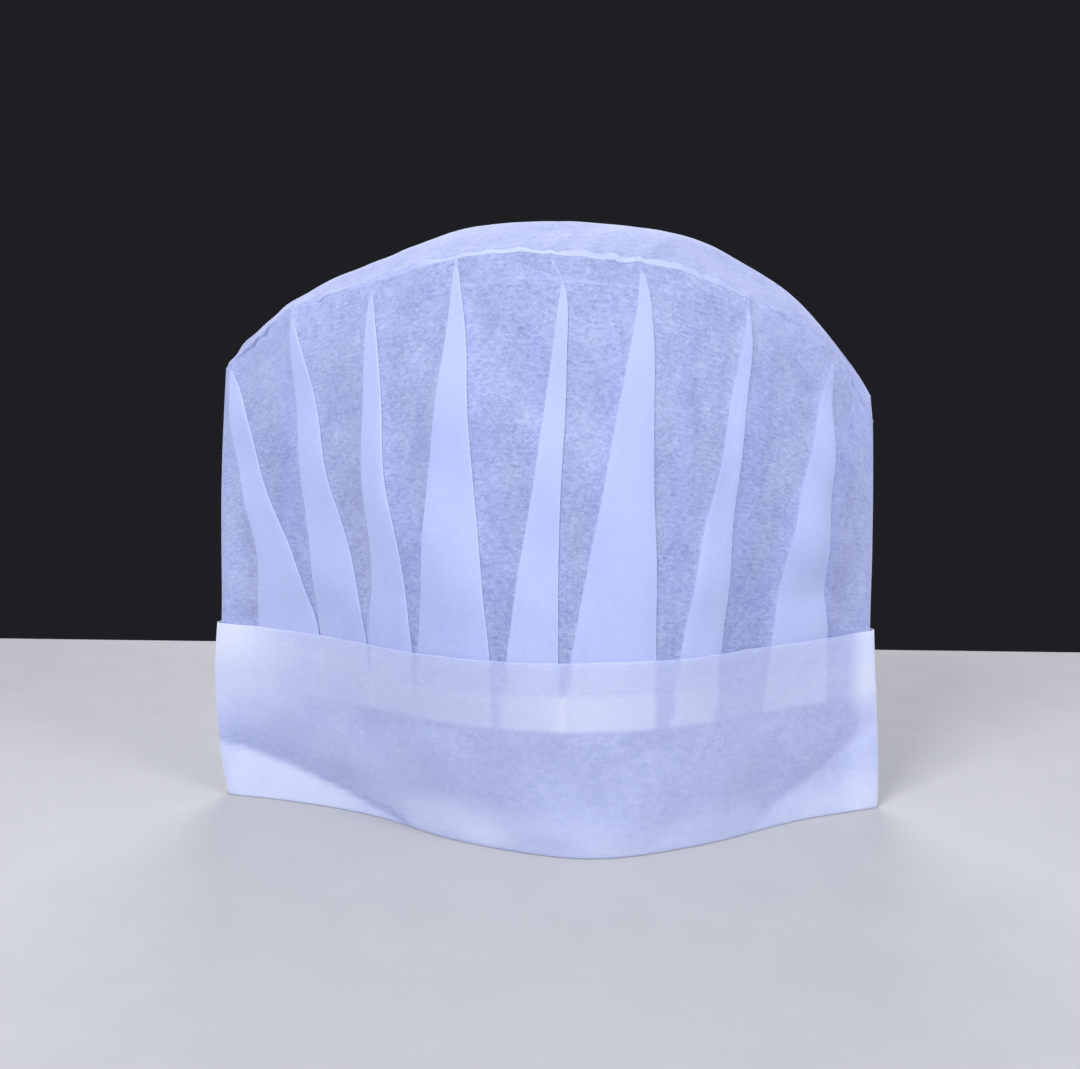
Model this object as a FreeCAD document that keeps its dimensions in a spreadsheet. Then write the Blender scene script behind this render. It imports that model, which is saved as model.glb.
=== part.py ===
import FreeCAD, Part
import math
import os

import Sketcher

# Disposable pleated chef toque of non-woven cloth, opened out and standing on the bottom edge of
# its headband. Origin at the middle of the head opening, in the plane the hat rests on. +Z is up
# to the crown, -Y is the front, +X is to the right as one looks at the front. The two side creases
# lie in the plane y = 0.
# Layers at the band, from outside to inside: outer ply, glue, pleats, crown sheet, glue, inner ply.

V = FreeCAD.Vector
doc = FreeCAD.newDocument("chef_toque")

# ---------------------------------------------------------------- driving dimensions, mm and degrees
SIZES = [
    ("band_height", 75.0),  # outer ply of the folded strip
    ("inner_ply_height", 63.0),
    ("band_ply", 0.5),
    ("crown_ply", 0.4),
    ("pleat_rise", 0.8),  # two more plies of cloth over the crown sheet
    ("layer_gap", 0.25),
    ("glue_thick", 0.15),
    ("glue_gap", "=(layer_gap - glue_thick) / 2"),  # on either side of a glue line
    ("glue_width", 5.0),
    ("outer_glue_bottom", 64.0),
    ("inner_glue_bottom", 52.0),
    ("tuck_depth", 26.0),  # crown cloth held inside the band
    ("chord_left", 136.4),  # middle of the opening to the left crease at the bottom edge
    ("chord_right", 139.75),  # the same to the right crease
    ("front_bulge", 61.4),
    ("back_bulge", 58.6),
    ("tip_depth", 2.0),  # half thickness where the cloth folds over at a side crease
    ("ridge_height", 237.4),
    ("rim_depth", 42.0),  # how far the pleated rim stands in front of the ridge
    ("back_radius", 131.0),  # back of the band where the closure sits
    # Curved plates of the closure; each runs clockwise, seen from above, from its start angle.
    ("tail_radius", 113.9),
    ("tail_thick", 0.9),
    ("tail_centre_x", 2.90),
    ("tail_centre_y", -53.44),
    ("tail_start_deg", 108.93),
    ("tail_sweep_deg", 31.2),
    ("tail_bottom", 0.5),
    ("tail_height", 74.0),
    ("tail_corner", 5.0),
    ("hook_thick", 0.8),
    ("hook_radius", "=tail_radius - hook_thick"),
    ("hook_centre_x", "=tail_centre_x"),
    ("hook_centre_y", "=tail_centre_y"),
    ("hook_start_deg", 88.8),
    ("hook_sweep_deg", 9.1),
    ("hook_bottom", 16.0),
    ("hook_height", 42.0),
    ("loop_gap", 0.15),  # between the back of the band and the loop patch
    ("loop_radius", "=back_radius + loop_gap"),
    ("loop_thick", 0.8),
    ("loop_centre_x", 0.0),
    ("loop_centre_y", "=back_bulge - back_radius"),
    ("loop_start_deg", 91.8),
    ("loop_sweep_deg", 16.6),
    ("loop_bottom", 12.0),
    ("loop_height", 50.0),
    ("patch_corner", 2.0),
]
sheet = doc.addObject("Spreadsheet::Sheet", "sizes")
for row_number, (alias, value) in enumerate(SIZES, start=1):
    sheet.set("A%d" % row_number, alias.replace("_", " "))
    sheet.set("B%d" % row_number, str(value))
    sheet.setAlias("B%d" % row_number, alias)
doc.recompute()


def size(alias):
    return float(sheet.get(alias))


BAND_HEIGHT = size("band_height")
BAND_PLY = size("band_ply")
CROWN_PLY = size("crown_ply")
PLEAT_RISE = size("pleat_rise")
CHORD_LEFT = size("chord_left")
CHORD_RIGHT = size("chord_right")
RIDGE_HEIGHT = size("ridge_height")

# Inset of each face from the outer face of the band.
CROWN_OUTER = BAND_PLY + size("layer_gap") + PLEAT_RISE
CROWN_INNER = CROWN_OUTER + CROWN_PLY
INNER_PLY_OUTER = CROWN_INNER + size("layer_gap")
INNER_PLY_INNER = INNER_PLY_OUTER + BAND_PLY

# ---------------------------------------------------------------- how the soft sheets are described
# A sheet is a net of control points: levels, lowest first, each a row of points from the left
# crease to the right one. FRONT and BACK are the sign of y of each half.
FRONT, BACK = -1, 1
BOTTOM, TOP = 0, 3  # first and last of the four levels of a band ring
DEGREE = 3

# Where the control columns stand along the half chord, -1 left crease, +1 right crease. The first
# and last pairs wrap the side creases.
PLACES = [
    -1, -1, -0.987, -0.956, -0.90, -0.83, -0.74, -0.64, -0.53, -0.42, -0.31, -0.19, -0.065,
    0.065, 0.19, 0.31, 0.42, 0.53, 0.64, 0.74, 0.83, 0.90, 0.956, 0.987, 1, 1,
]
COLUMNS = len(PLACES)


def interpolate(table, place):
    """Straight-line reading of a table of (place, value), held level beyond its ends."""
    if place <= table[0][0]:
        return table[0][1]
    for (start, low), (end, high) in zip(table, table[1:]):
        if place <= end:
            return low + (high - low) * (place - start) / (end - start)
    return table[-1][1]


def across(place, left, right):
    """x of a place, given the half chords to the left and right creases."""
    return place * (left if place < 0 else right)


def steps_from_crease(column):
    return min(column, COLUMNS - 1 - column)


def inset(row, side, distance):
    """The same level moved inwards by an exact distance between its edges."""
    before = V(row[1].x, -row[1].y, 0)
    after = V(row[-2].x, -row[-2].y, 0)
    padded = [before] + row + [after]
    moved = []
    for column, point in enumerate(row):
        normals = []
        for start, end in ((padded[column], point), (point, padded[column + 2])):
            direction = V(end.x - start.x, end.y - start.y, 0)
            direction.normalize()
            normals.append(V(direction.y, -direction.x, 0) * side)
        mitre = normals[0] + normals[1]
        mitre.normalize()
        stretch = 1.0 / max(0.6, mitre.dot(normals[0]))
        point = point + mitre * (distance * stretch)
        if steps_from_crease(column) == 0:
            point.y = 0.0
        moved.append(point)
    return moved


def blossom(points, parameters):
    """De Casteljau steps on the four points of a cubic, one parameter for each step."""
    for t_ in parameters:
        points = [p * (1 - t_) + q * t_ for p, q in zip(points, points[1:])]
    return points[0]


def bezier_part(levels, start, end):
    """Cuts the stretch start..end out of four levels that run as one cubic up the sheet."""
    corners = [(start, start, start), (start, start, end), (start, end, end), (end, end, end)]
    return [[blossom(column, corner) for column in zip(*levels)] for corner in corners]


def clamped_knots(pole_count):
    """Knots and multiplicities of a clamped cubic with evenly spaced knots."""
    inner = pole_count - DEGREE - 1
    return [float(i) for i in range(inner + 2)], [DEGREE + 1] + [1] * inner + [DEGREE + 1]


def sheet_face(levels):
    """A smooth face whose control net is the given levels."""
    poles = [list(column) for column in zip(*levels)]
    u_knots, u_mults = clamped_knots(COLUMNS)
    v_knots, v_mults = clamped_knots(len(levels))
    surface = Part.BSplineSurface()
    surface.buildFromPolesMultsKnots(
        poles, u_mults, v_mults, u_knots, v_knots, False, False, DEGREE, DEGREE
    )
    return surface.toShape()


def row_edge(row):
    knots, mults = clamped_knots(COLUMNS)
    curve = Part.BSplineCurve()
    curve.buildFromPolesMultsKnots(row, mults, knots, False, DEGREE)
    return curve.toShape()


def flat_ring(outer_pair, inner_pair):
    """Flat face between two closed curves, each given as its front and back control rows."""
    wires = [
        Part.Wire(Part.__sortEdges__([row_edge(row) for row in pair]))
        for pair in (outer_pair, inner_pair)
    ]
    return Part.makeFace(wires, "Part::FaceMakerBullseye")


def closed_solid(faces, name):
    shell = Part.makeShell(faces)
    shell.sewShape()
    solid = Part.Solid(shell)
    if solid.Volume < 0:
        solid.reverse()
    if not solid.isValid() or not solid.isClosed():
        raise RuntimeError("%s did not close: valid %s" % (name, solid.isValid()))
    return solid


def add_piece(name, shape):
    piece = doc.addObject("Part::Feature", name)
    piece.Shape = shape
    return piece


# ---------------------------------------------------------------- plan of the band
# (place, depth as a share of front_bulge) at the bottom and top edges of the front. The bottom
# edge pinches in at the left before it swells; the top edge is fuller.
FRONT_LOW = [
    (-0.956, 0.078), (-0.92, 0.086), (-0.85, 0.117), (-0.78, 0.155), (-0.711, 0.195),
    (-0.644, 0.239), (-0.576, 0.295), (-0.509, 0.353), (-0.444, 0.417), (-0.376, 0.518),
    (-0.307, 0.632), (-0.246, 0.704), (-0.187, 0.757), (-0.129, 0.798), (-0.072, 0.842),
    (-0.015, 0.879), (0.039, 0.917), (0.093, 0.940), (0.145, 0.946), (0.197, 0.928),
    (0.250, 0.894), (0.303, 0.847), (0.359, 0.790), (0.414, 0.736), (0.471, 0.674),
    (0.528, 0.603), (0.590, 0.508), (0.652, 0.407), (0.716, 0.321), (0.780, 0.248),
    (0.843, 0.190), (0.907, 0.135), (0.958, 0.085),
]
FRONT_TOP = [
    (-0.956, 0.080), (-0.92, 0.098), (-0.862, 0.134), (-0.756, 0.228), (-0.652, 0.339),
    (-0.560, 0.474), (-0.470, 0.608), (-0.400, 0.708), (-0.329, 0.803), (-0.270, 0.862),
    (-0.219, 0.912), (-0.150, 0.960), (-0.099, 0.987), (0.0, 1.0), (0.068, 1.0),
    (0.140, 0.985), (0.217, 0.964), (0.290, 0.929), (0.344, 0.896), (0.390, 0.860),
    (0.437, 0.818), (0.480, 0.765), (0.511, 0.708), (0.580, 0.610), (0.655, 0.513),
    (0.740, 0.398), (0.825, 0.285), (0.890, 0.190), (0.930, 0.132), (0.958, 0.090),
]
BACK_FULLNESS = 1.3  # power that shapes the back's even curve
# What the creases of the four levels add to the half chords, bottom first.
CREASE_ADDS = [(0.0, 0.0), (3.55, 0.3), (4.6, -3.0), (1.2, -4.5)]
# Depths near a crease, as shares of tip_depth: fixed on the first three columns, then least values.
TIP_SHARES = (0.0, 1.0, 1.75)
LEAST_TIP_SHARES = (2.3, 2.6)  # fourth column, all others


def band_depth(side, column, share_top):
    tip = size("tip_depth")
    steps = steps_from_crease(column)
    if steps < len(TIP_SHARES):
        return tip * TIP_SHARES[steps]
    place = PLACES[column]
    if side == FRONT:
        low, top = interpolate(FRONT_LOW, place), interpolate(FRONT_TOP, place)
        depth = (low * (1 - share_top) + top * share_top) * size("front_bulge")
    else:
        depth = (1.0 - place * place) ** BACK_FULLNESS * size("back_bulge")
    return max(depth, tip * LEAST_TIP_SHARES[0 if steps == 3 else 1])


def band_levels(side, distance):
    """The four levels of one half of the band, moved inwards from its outer face."""
    levels = []
    for k, (add_left, add_right) in enumerate(CREASE_ADDS):
        row = [
            V(
                across(place, CHORD_LEFT + add_left, CHORD_RIGHT + add_right),
                side * band_depth(side, column, k / 3.0),
                BAND_HEIGHT * k / 3.0,
            )
            for column, place in enumerate(PLACES)
        ]
        levels.append(inset(row, side, distance) if distance else row)
    return levels


def ring(side, distance, bottom, top):
    """One half of a ring that follows the band between two heights."""
    return bezier_part(band_levels(side, distance), bottom / BAND_HEIGHT, top / BAND_HEIGHT)


def band_piece(name, skins, joins):
    """Solid of upright skins (inset, bottom, top) and flat joins (skin, skin, BOTTOM or TOP)."""
    halves = {side: [ring(side, *skin) for skin in skins] for side in (FRONT, BACK)}
    faces = [sheet_face(levels) for side in (FRONT, BACK) for levels in halves[side]]
    for first, second, level in joins:
        pairs = [
            [halves[side][skin][level] for side in (FRONT, BACK)] for skin in (first, second)
        ]
        faces.append(flat_ring(*pairs))
    return add_piece(name, closed_solid(faces, name))


def build_headband():
    """One strip folded along its bottom edge: a tall outer ply and a shorter inner ply."""
    inner_top = size("inner_ply_height")
    skins = [
        (0.0, 0.0, BAND_HEIGHT),
        (BAND_PLY, BAND_PLY, BAND_HEIGHT),
        (INNER_PLY_OUTER, BAND_PLY, inner_top),
        (INNER_PLY_INNER, 0.0, inner_top),
    ]
    joins = [(0, 1, TOP), (1, 2, BOTTOM), (2, 3, TOP), (0, 3, BOTTOM)]
    return band_piece("headband", skins, joins)


def build_glue_line(name, behind, bottom):
    """A ribbon of adhesive just inside the face at inset `behind`."""
    outer = behind + size("glue_gap")
    top = bottom + size("glue_width")
    skins = [(outer, bottom, top), (outer + size("glue_thick"), bottom, top)]
    return band_piece(name, skins, [(0, 1, BOTTOM), (0, 1, TOP)])


# ---------------------------------------------------------------- crown sheet: tuck, wall and cap
# Ridge, the fold over the top in the plane y = 0: (place, height as a share of ridge_height).
RIDGE = [
    (-1.0, 0.775), (-0.946, 0.802), (-0.893, 0.827), (-0.839, 0.854), (-0.787, 0.877),
    (-0.735, 0.890), (-0.683, 0.905), (-0.632, 0.916), (-0.581, 0.926), (-0.530, 0.9355),
    (-0.480, 0.947), (-0.430, 0.9566), (-0.379, 0.9675), (-0.329, 0.977), (-0.279, 0.987),
    (-0.229, 0.9916), (-0.180, 0.996), (-0.130, 0.9975), (-0.080, 0.999), (0.0, 1.0),
    (0.067, 0.9995), (0.115, 0.998), (0.163, 0.996), (0.212, 0.994), (0.261, 0.992),
    (0.309, 0.9886), (0.357, 0.9836), (0.406, 0.9785), (0.453, 0.972), (0.502, 0.962),
    (0.551, 0.9473), (0.599, 0.933), (0.647, 0.9166), (0.696, 0.9035), (0.745, 0.884),
    (0.795, 0.858), (0.845, 0.8285), (0.895, 0.799), (0.946, 0.766), (0.975, 0.742),
    (1.0, 0.7165),
]
# Rim, where the pleats run out: (place, height as a share of ridge_height).
RIM = [
    (-1.0, 0.763), (-0.865, 0.8125), (-0.742, 0.8513), (-0.616, 0.8715), (-0.486, 0.891),
    (-0.357, 0.9094), (-0.225, 0.926), (-0.089, 0.935), (0.034, 0.931), (0.156, 0.9242),
    (0.278, 0.9174), (0.444, 0.8985), (0.582, 0.866), (0.663, 0.8454), (0.741, 0.824),
    (0.827, 0.7927), (0.911, 0.7523), (0.96, 0.716), (1.0, 0.674),
]
# Side creases above the band: (share of the wall's height, share of the bottom half chord).
CREASE_LEFT = [
    (0.0, 0.998), (0.12, 0.991), (0.3, 0.9895), (0.5, 0.9812), (0.7, 0.972), (0.85, 0.9597),
    (1.0, 0.949),
]
CREASE_RIGHT = [
    (0.0, 0.957), (0.12, 0.9542), (0.3, 0.955), (0.5, 0.951), (0.7, 0.948), (0.85, 0.9445),
    (1.0, 0.9385),
]
# Ends of the rim and ridge as shares of the bottom half chords.
RIM_LEFT, RIM_RIGHT = CREASE_LEFT[-1][1], CREASE_RIGHT[-1][1]
RIDGE_LEFT, RIDGE_RIGHT = 0.941, 0.9295
RIM_FULLNESS = 2.2  # power that shapes the rim in plan
RIM_TIP_DEPTHS = (0.0, 1.2, 2.4)  # rim depth on the first three columns from a crease
# Control levels as shares of the way up the wall, and from the rim to the ridge.
WALL_STEPS = [0.0, 0.10, 0.28, 0.50, 0.74, 1.0]
CAP_STEPS = [0.0, 0.3, 0.66, 1.0]
WALL_BULGE = 3.0
WALL_BULGE_POWER = 0.3  # how the bulge fades towards the creases
CAP_LIFT = 2.2
# The inner skin's rim and ridge sit lower by these shares of crown_ply; its ridge is shorter too.
INNER_RIM_DROP = 0.9
INNER_RIDGE_DROP = 1.15
INNER_RIDGE_SHARE = 0.997


def rim_and_ridge(side):
    rim, ridge = [], []
    for column, place in enumerate(PLACES):
        steps = steps_from_crease(column)
        if steps < len(RIM_TIP_DEPTHS):
            depth = RIM_TIP_DEPTHS[steps]
        else:
            depth = size("rim_depth") * (1 - abs(place) ** RIM_FULLNESS)
        rim_x = across(place, CHORD_LEFT * RIM_LEFT, CHORD_RIGHT * RIM_RIGHT)
        ridge_x = across(place, CHORD_LEFT * RIDGE_LEFT, CHORD_RIGHT * RIDGE_RIGHT)
        rim.append(V(rim_x, side * depth, interpolate(RIM, place) * RIDGE_HEIGHT))
        ridge.append(V(ridge_x, 0.0, interpolate(RIDGE, place) * RIDGE_HEIGHT))
    return rim, ridge


def wall_row(side, base, rim, share):
    """One level of the wall; share is 0 at the band's top edge and 1 at the rim."""
    left = CHORD_LEFT * interpolate(CREASE_LEFT, share)
    right = CHORD_RIGHT * interpolate(CREASE_RIGHT, share)
    row = []
    for place, low, high in zip(PLACES, base, rim):
        point = low * (1 - share) + high * share
        if 0.0 < share < 1.0:
            point.x = across(place, left, right)
        fade = (1 - abs(place)) ** WALL_BULGE_POWER
        point.y += side * (WALL_BULGE * math.sin(math.pi * share) * fade)
        row.append(point)
    return row


def crown_levels(side, inner):
    """Control levels of the tuck, wall and cap of one half of the outer or inner skin."""
    distance = CROWN_INNER if inner else CROWN_OUTER
    tuck = ring(side, distance, BAND_HEIGHT - size("tuck_depth"), BAND_HEIGHT)
    rim, ridge = rim_and_ridge(side)
    wall = [wall_row(side, tuck[TOP], rim, share) for share in WALL_STEPS]
    if inner:
        wall[1:] = [inset(row, side, CROWN_PLY) for row in wall[1:]]
        wall[-1] = [V(p.x, p.y, p.z - INNER_RIM_DROP * CROWN_PLY) for p in wall[-1]]
        ridge = [
            V(p.x * INNER_RIDGE_SHARE, p.y, p.z - INNER_RIDGE_DROP * CROWN_PLY) for p in ridge
        ]
    cap = []
    for share in CAP_STEPS:
        row = []
        for place, low, high in zip(PLACES, wall[-1], ridge):
            lift = CAP_LIFT * math.sin(math.pi * share) * (1 - abs(place) ** 2)
            row.append(low * (1 - share) + high * share + V(0, 0, lift))
        cap.append(row)
    return tuck, wall, cap


def crown_sheet():
    faces = []
    raw_edges = []
    for inner in (False, True):
        pair = []
        for side in (FRONT, BACK):
            parts = crown_levels(side, inner)
            faces += [sheet_face(levels) for levels in parts]
            pair.append(parts[0][BOTTOM])
        raw_edges.append(pair)
    faces.append(flat_ring(*raw_edges))
    return closed_solid(faces, "crown")


# ---------------------------------------------------------------- knife pleats on the crown
# Each is the crown sheet folded back on itself, two more plies that start wide at the raw edge and
# run out to nothing at the rim. Columns: x of the left and right edges at the band's top edge and
# x at the rim, as shares of the mean half chord. The back has the same set, seen from behind.
PLEATS = [
    (-0.838, -0.652, -0.912), (-0.640, -0.486, -0.690), (-0.478, -0.344, -0.450),
    (-0.335, -0.122, -0.212), (-0.070, 0.067, 0.048), (0.084, 0.310, 0.262),
    (0.372, 0.500, 0.548), (0.640, 0.818, 0.802),
]
MEAN_CHORD = (CHORD_LEFT + CHORD_RIGHT) / 2.0
# Surface parameters up the tuck (0 to 1) and the wall (0 to 3) where a pleat is sampled.
TUCK_STATIONS = (0.04, 0.2, 0.36, 0.52, 0.68, 0.84, 0.94)
WALL_STATIONS = (0.05, 0.2, 0.45, 0.75, 1.1, 1.45, 1.8, 2.15, 2.5, 2.75, 2.9)
PLEAT_COLUMNS = 10
LEAST_PLEAT_SPAN = 0.05  # in the surface's u parameter
SPREAD_BELOW = 0.3  # share of an edge's slope that it has, turned back, inside the band
# Shares of the crown sheet that a pleat's underside is sunk into, in order of preference.
BURIALS = (0.5, 0.4, 0.6, 0.45, 0.7)
JOIN_TOLERANCE = 0.045  # share of the pleat's volume


def edge_parameter(surface, v, base, apex):
    """u where a pleat's edge crosses the surface at v, by bisection."""
    z_apex = RIDGE_HEIGHT * interpolate(RIM, apex)
    low, high = 0.2, COLUMNS - 3.2
    for _ in range(50):
        middle = (low + high) / 2
        point = surface.value(middle, v)
        rise = (point.z - BAND_HEIGHT) / (z_apex - BAND_HEIGHT)
        if rise > 0:
            edge_x = MEAN_CHORD * (base + (apex - base) * rise)
        else:
            edge_x = MEAN_CHORD * (base - (apex - base) * SPREAD_BELOW * rise)
        if point.x < edge_x:
            low = middle
        else:
            high = middle
    return (low + high) / 2


def pleat_solid(side, stations, left, right, apex, burial):
    outer_points, inner_points = [], []
    for surface, v in stations:
        start = edge_parameter(surface, v, left, apex)
        end = edge_parameter(surface, v, right, apex)
        if end - start < LEAST_PLEAT_SPAN:
            middle = (start + end) / 2
            start, end = middle - LEAST_PLEAT_SPAN / 2, middle + LEAST_PLEAT_SPAN / 2
        outer_row, inner_row = [], []
        for i in range(PLEAT_COLUMNS):
            u = start + (end - start) * i / (PLEAT_COLUMNS - 1)
            point = surface.value(u, v)
            normal = surface.normal(u, v)
            if normal.y * side < 0:
                normal = normal * -1
            outer_row.append(point + normal * PLEAT_RISE)
            inner_row.append(point - normal * (CROWN_PLY * burial))
        outer_points.append(outer_row)
        inner_points.append(inner_row)
    faces, borders = [], []
    for points in (outer_points, inner_points):
        skin = Part.BSplineSurface()
        skin.interpolate(points)
        faces.append(skin.toShape())
        u0, u1, v0, v1 = skin.bounds()
        isolines = (skin.uIso(u0), skin.uIso(u1), skin.vIso(v0), skin.vIso(v1))
        borders.append([line.toShape() for line in isolines])
    for outer_edge, inner_edge in zip(*borders):
        faces.append(Part.makeRuledSurface(outer_edge, inner_edge))
    return closed_solid(faces, "pleat")


def join_pleat(body, side, stations, edges):
    """Fuses one pleat; a fuse that fails or gives a wrong volume is tried at another burial."""
    for burial in BURIALS:
        pleat = pleat_solid(side, stations, *edges, burial)
        proud_share = PLEAT_RISE / (PLEAT_RISE + burial * CROWN_PLY)
        expected = body.Volume + pleat.Volume * proud_share
        joined = body.fuse(pleat)
        off = abs(joined.Volume - expected)
        if len(joined.Solids) == 1 and joined.isValid() and off < JOIN_TOLERANCE * pleat.Volume:
            return joined.Solids[0]
    raise RuntimeError("pleat %s on side %d did not join the crown sheet" % (edges, side))


def build_crown():
    body = crown_sheet()
    stations = {}
    for side in (FRONT, BACK):
        tuck, wall, _ = crown_levels(side, False)
        tuck_surface, wall_surface = sheet_face(tuck).Surface, sheet_face(wall).Surface
        stations[side] = [(tuck_surface, v) for v in TUCK_STATIONS]
        stations[side] += [(wall_surface, v) for v in WALL_STATIONS]
    for left, right, apex in PLEATS:
        body = join_pleat(body, FRONT, stations[FRONT], (left, right, apex))
        body = join_pleat(body, BACK, stations[BACK], (-right, -left, -apex))
    return add_piece("crown", body)


# ---------------------------------------------------------------- closure at the back
def plate_angles(prefix):
    """Start and end angle of a plate in radians; the end is the smaller."""
    start = size(prefix + "_start_deg")
    return math.radians(start), math.radians(start - size(prefix + "_sweep_deg"))


def draw_plate_plan(sketch, prefix):
    """A band between two arcs about one centre, bound to the sizes that carry the prefix."""
    centre_x, centre_y = size(prefix + "_centre_x"), size(prefix + "_centre_y")
    inner_radius = size(prefix + "_radius")
    outer_radius = inner_radius + size(prefix + "_thick")
    start, end = plate_angles(prefix)
    centre = V(centre_x, centre_y, 0)

    def at(radius, angle):
        return centre + V(radius * math.cos(angle), radius * math.sin(angle), 0)

    inner_arc, outer_arc, end_line, start_line, start_ray, end_ray = range(6)
    for radius in (inner_radius, outer_radius):
        circle = Part.Circle(centre, V(0, 0, 1), radius)
        sketch.addGeometry(Part.ArcOfCircle(circle, end, start), False)
    for angle in (end, start):
        line = Part.LineSegment(at(inner_radius, angle), at(outer_radius, angle))
        sketch.addGeometry(line, False)
    for angle in (start, end):  # construction lines from the centre
        sketch.addGeometry(Part.LineSegment(centre, at(inner_radius, angle)), True)

    # Points of a geometry: 1 its start, 2 its end, 3 its centre.
    for joint in (
        (end_line, 1, inner_arc, 1),
        (end_line, 2, outer_arc, 1),
        (start_line, 1, inner_arc, 2),
        (start_line, 2, outer_arc, 2),
        (outer_arc, 3, inner_arc, 3),
        (start_ray, 1, inner_arc, 3),
        (start_ray, 2, inner_arc, 2),
        (end_ray, 1, inner_arc, 3),
        (end_ray, 2, inner_arc, 1),
    ):
        sketch.addConstraint(Sketcher.Constraint("Coincident", *joint))
    sketch.addConstraint(Sketcher.Constraint("Parallel", start_line, start_ray))
    sketch.addConstraint(Sketcher.Constraint("Parallel", end_line, end_ray))

    def dimension(label, expression, *definition):
        index = sketch.addConstraint(Sketcher.Constraint(*definition))
        sketch.renameConstraint(index, label)
        sketch.setExpression("Constraints." + label, expression)

    own = "sizes." + prefix
    dimension("r_in", own + "_radius", "Radius", inner_arc, inner_radius)
    dimension("r_out", "%s_radius + %s_thick" % (own, own), "Radius", outer_arc, outer_radius)
    if centre_x == 0:  # a centre on the Y axis is held there without a dimension
        sketch.addConstraint(Sketcher.Constraint("PointOnObject", inner_arc, 3, -2))
    else:
        dimension("centre_x", own + "_centre_x", "DistanceX", -1, 1, inner_arc, 3, centre_x)
    dimension("centre_y", own + "_centre_y", "DistanceY", -1, 1, inner_arc, 3, centre_y)
    dimension("start", own + "_start_deg * 1 deg", "Angle", start_ray, start)
    dimension("sweep", own + "_sweep_deg * 1 deg", "Angle", end_ray, 1, start_ray, 1, start - end)


def crosses_thickness(edge):
    """True for a short level edge that crosses the plate's thickness."""
    ends = [vertex.Point for vertex in edge.Vertexes]
    return len(ends) == 2 and edge.Length < 2.0 and abs(ends[0].z - ends[1].z) < 1e-6


def at_tail_free_end(edge):
    """True near the tail's right-hand end."""
    _, end = plate_angles("tail")
    free_x = size("tail_centre_x") + size("tail_radius") * math.cos(end)
    return abs(edge.CenterOfMass.x - free_x) < 3.0


def build_plate(name, prefix, corner, wanted=lambda edge: True):
    """A curved upright plate, its wanted corners rounded by the size named corner."""
    body = doc.addObject("PartDesign::Body", name)
    sketch = body.newObject("Sketcher::SketchObject", name + "_plan")
    plane = [o for o in body.Origin.OriginFeatures if o.Role == "XY_Plane"][0]
    sketch.AttachmentSupport = [(plane, "")]
    sketch.MapMode = "FlatFace"
    draw_plate_plan(sketch, prefix)
    sketch.setExpression("AttachmentOffset.Base.z", "sizes.%s_bottom" % prefix)
    doc.recompute()

    pad = body.newObject("PartDesign::Pad", name + "_pad")
    pad.Profile = sketch
    pad.Type = 0
    pad.setExpression("Length", "sizes.%s_height" % prefix)
    doc.recompute()

    corners = [
        "Edge%d" % i
        for i, edge in enumerate(pad.Shape.Edges, start=1)
        if crosses_thickness(edge) and wanted(edge)
    ]
    fillet = body.newObject("PartDesign::Fillet", name + "_corners")
    fillet.Base = (pad, corners)
    fillet.setExpression("Radius", "sizes." + corner)
    doc.recompute()
    body.Tip = fillet
    return body


# ---------------------------------------------------------------- build, verify, export
pieces = [
    build_headband(),
    build_crown(),
    build_glue_line("outer_glue_line", BAND_PLY, size("outer_glue_bottom")),
    build_glue_line("inner_glue_line", CROWN_INNER, size("inner_glue_bottom")),
    build_plate("headband_tail", "tail", "tail_corner", at_tail_free_end),
    build_plate("hook_patch", "hook", "patch_corner"),
    build_plate("loop_patch", "loop", "patch_corner"),
]
doc.recompute()
for item in doc.Objects:
    if "Invalid" in item.State or "Error" in item.State:
        raise RuntimeError("%s failed: %s" % (item.Name, item.State))

os.makedirs("parts", exist_ok=True)
for piece in pieces:
    if piece.Shape.isNull() or not piece.Shape.isValid() or piece.Shape.Volume <= 0:
        raise RuntimeError("%s has no valid solid" % piece.Label)
    piece.Shape.exportStep("parts/%s.step" % piece.Label)
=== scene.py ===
import math

import bpy
import numpy as np
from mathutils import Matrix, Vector


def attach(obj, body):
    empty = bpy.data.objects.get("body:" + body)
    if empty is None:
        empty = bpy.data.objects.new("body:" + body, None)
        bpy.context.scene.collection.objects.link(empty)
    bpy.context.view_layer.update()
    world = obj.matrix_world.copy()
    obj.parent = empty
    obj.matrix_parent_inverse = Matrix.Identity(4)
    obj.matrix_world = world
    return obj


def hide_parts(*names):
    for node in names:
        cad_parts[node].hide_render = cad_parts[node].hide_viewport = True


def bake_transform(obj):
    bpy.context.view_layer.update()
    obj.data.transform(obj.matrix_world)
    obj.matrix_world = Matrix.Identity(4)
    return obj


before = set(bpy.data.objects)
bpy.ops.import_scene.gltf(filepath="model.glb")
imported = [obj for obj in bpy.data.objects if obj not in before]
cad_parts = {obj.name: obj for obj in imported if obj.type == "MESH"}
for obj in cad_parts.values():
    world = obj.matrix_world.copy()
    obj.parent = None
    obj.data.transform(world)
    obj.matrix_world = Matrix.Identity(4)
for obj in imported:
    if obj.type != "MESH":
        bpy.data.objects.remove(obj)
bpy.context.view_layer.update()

MM = 0.001
RNG = np.random.default_rng(20417)

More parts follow.
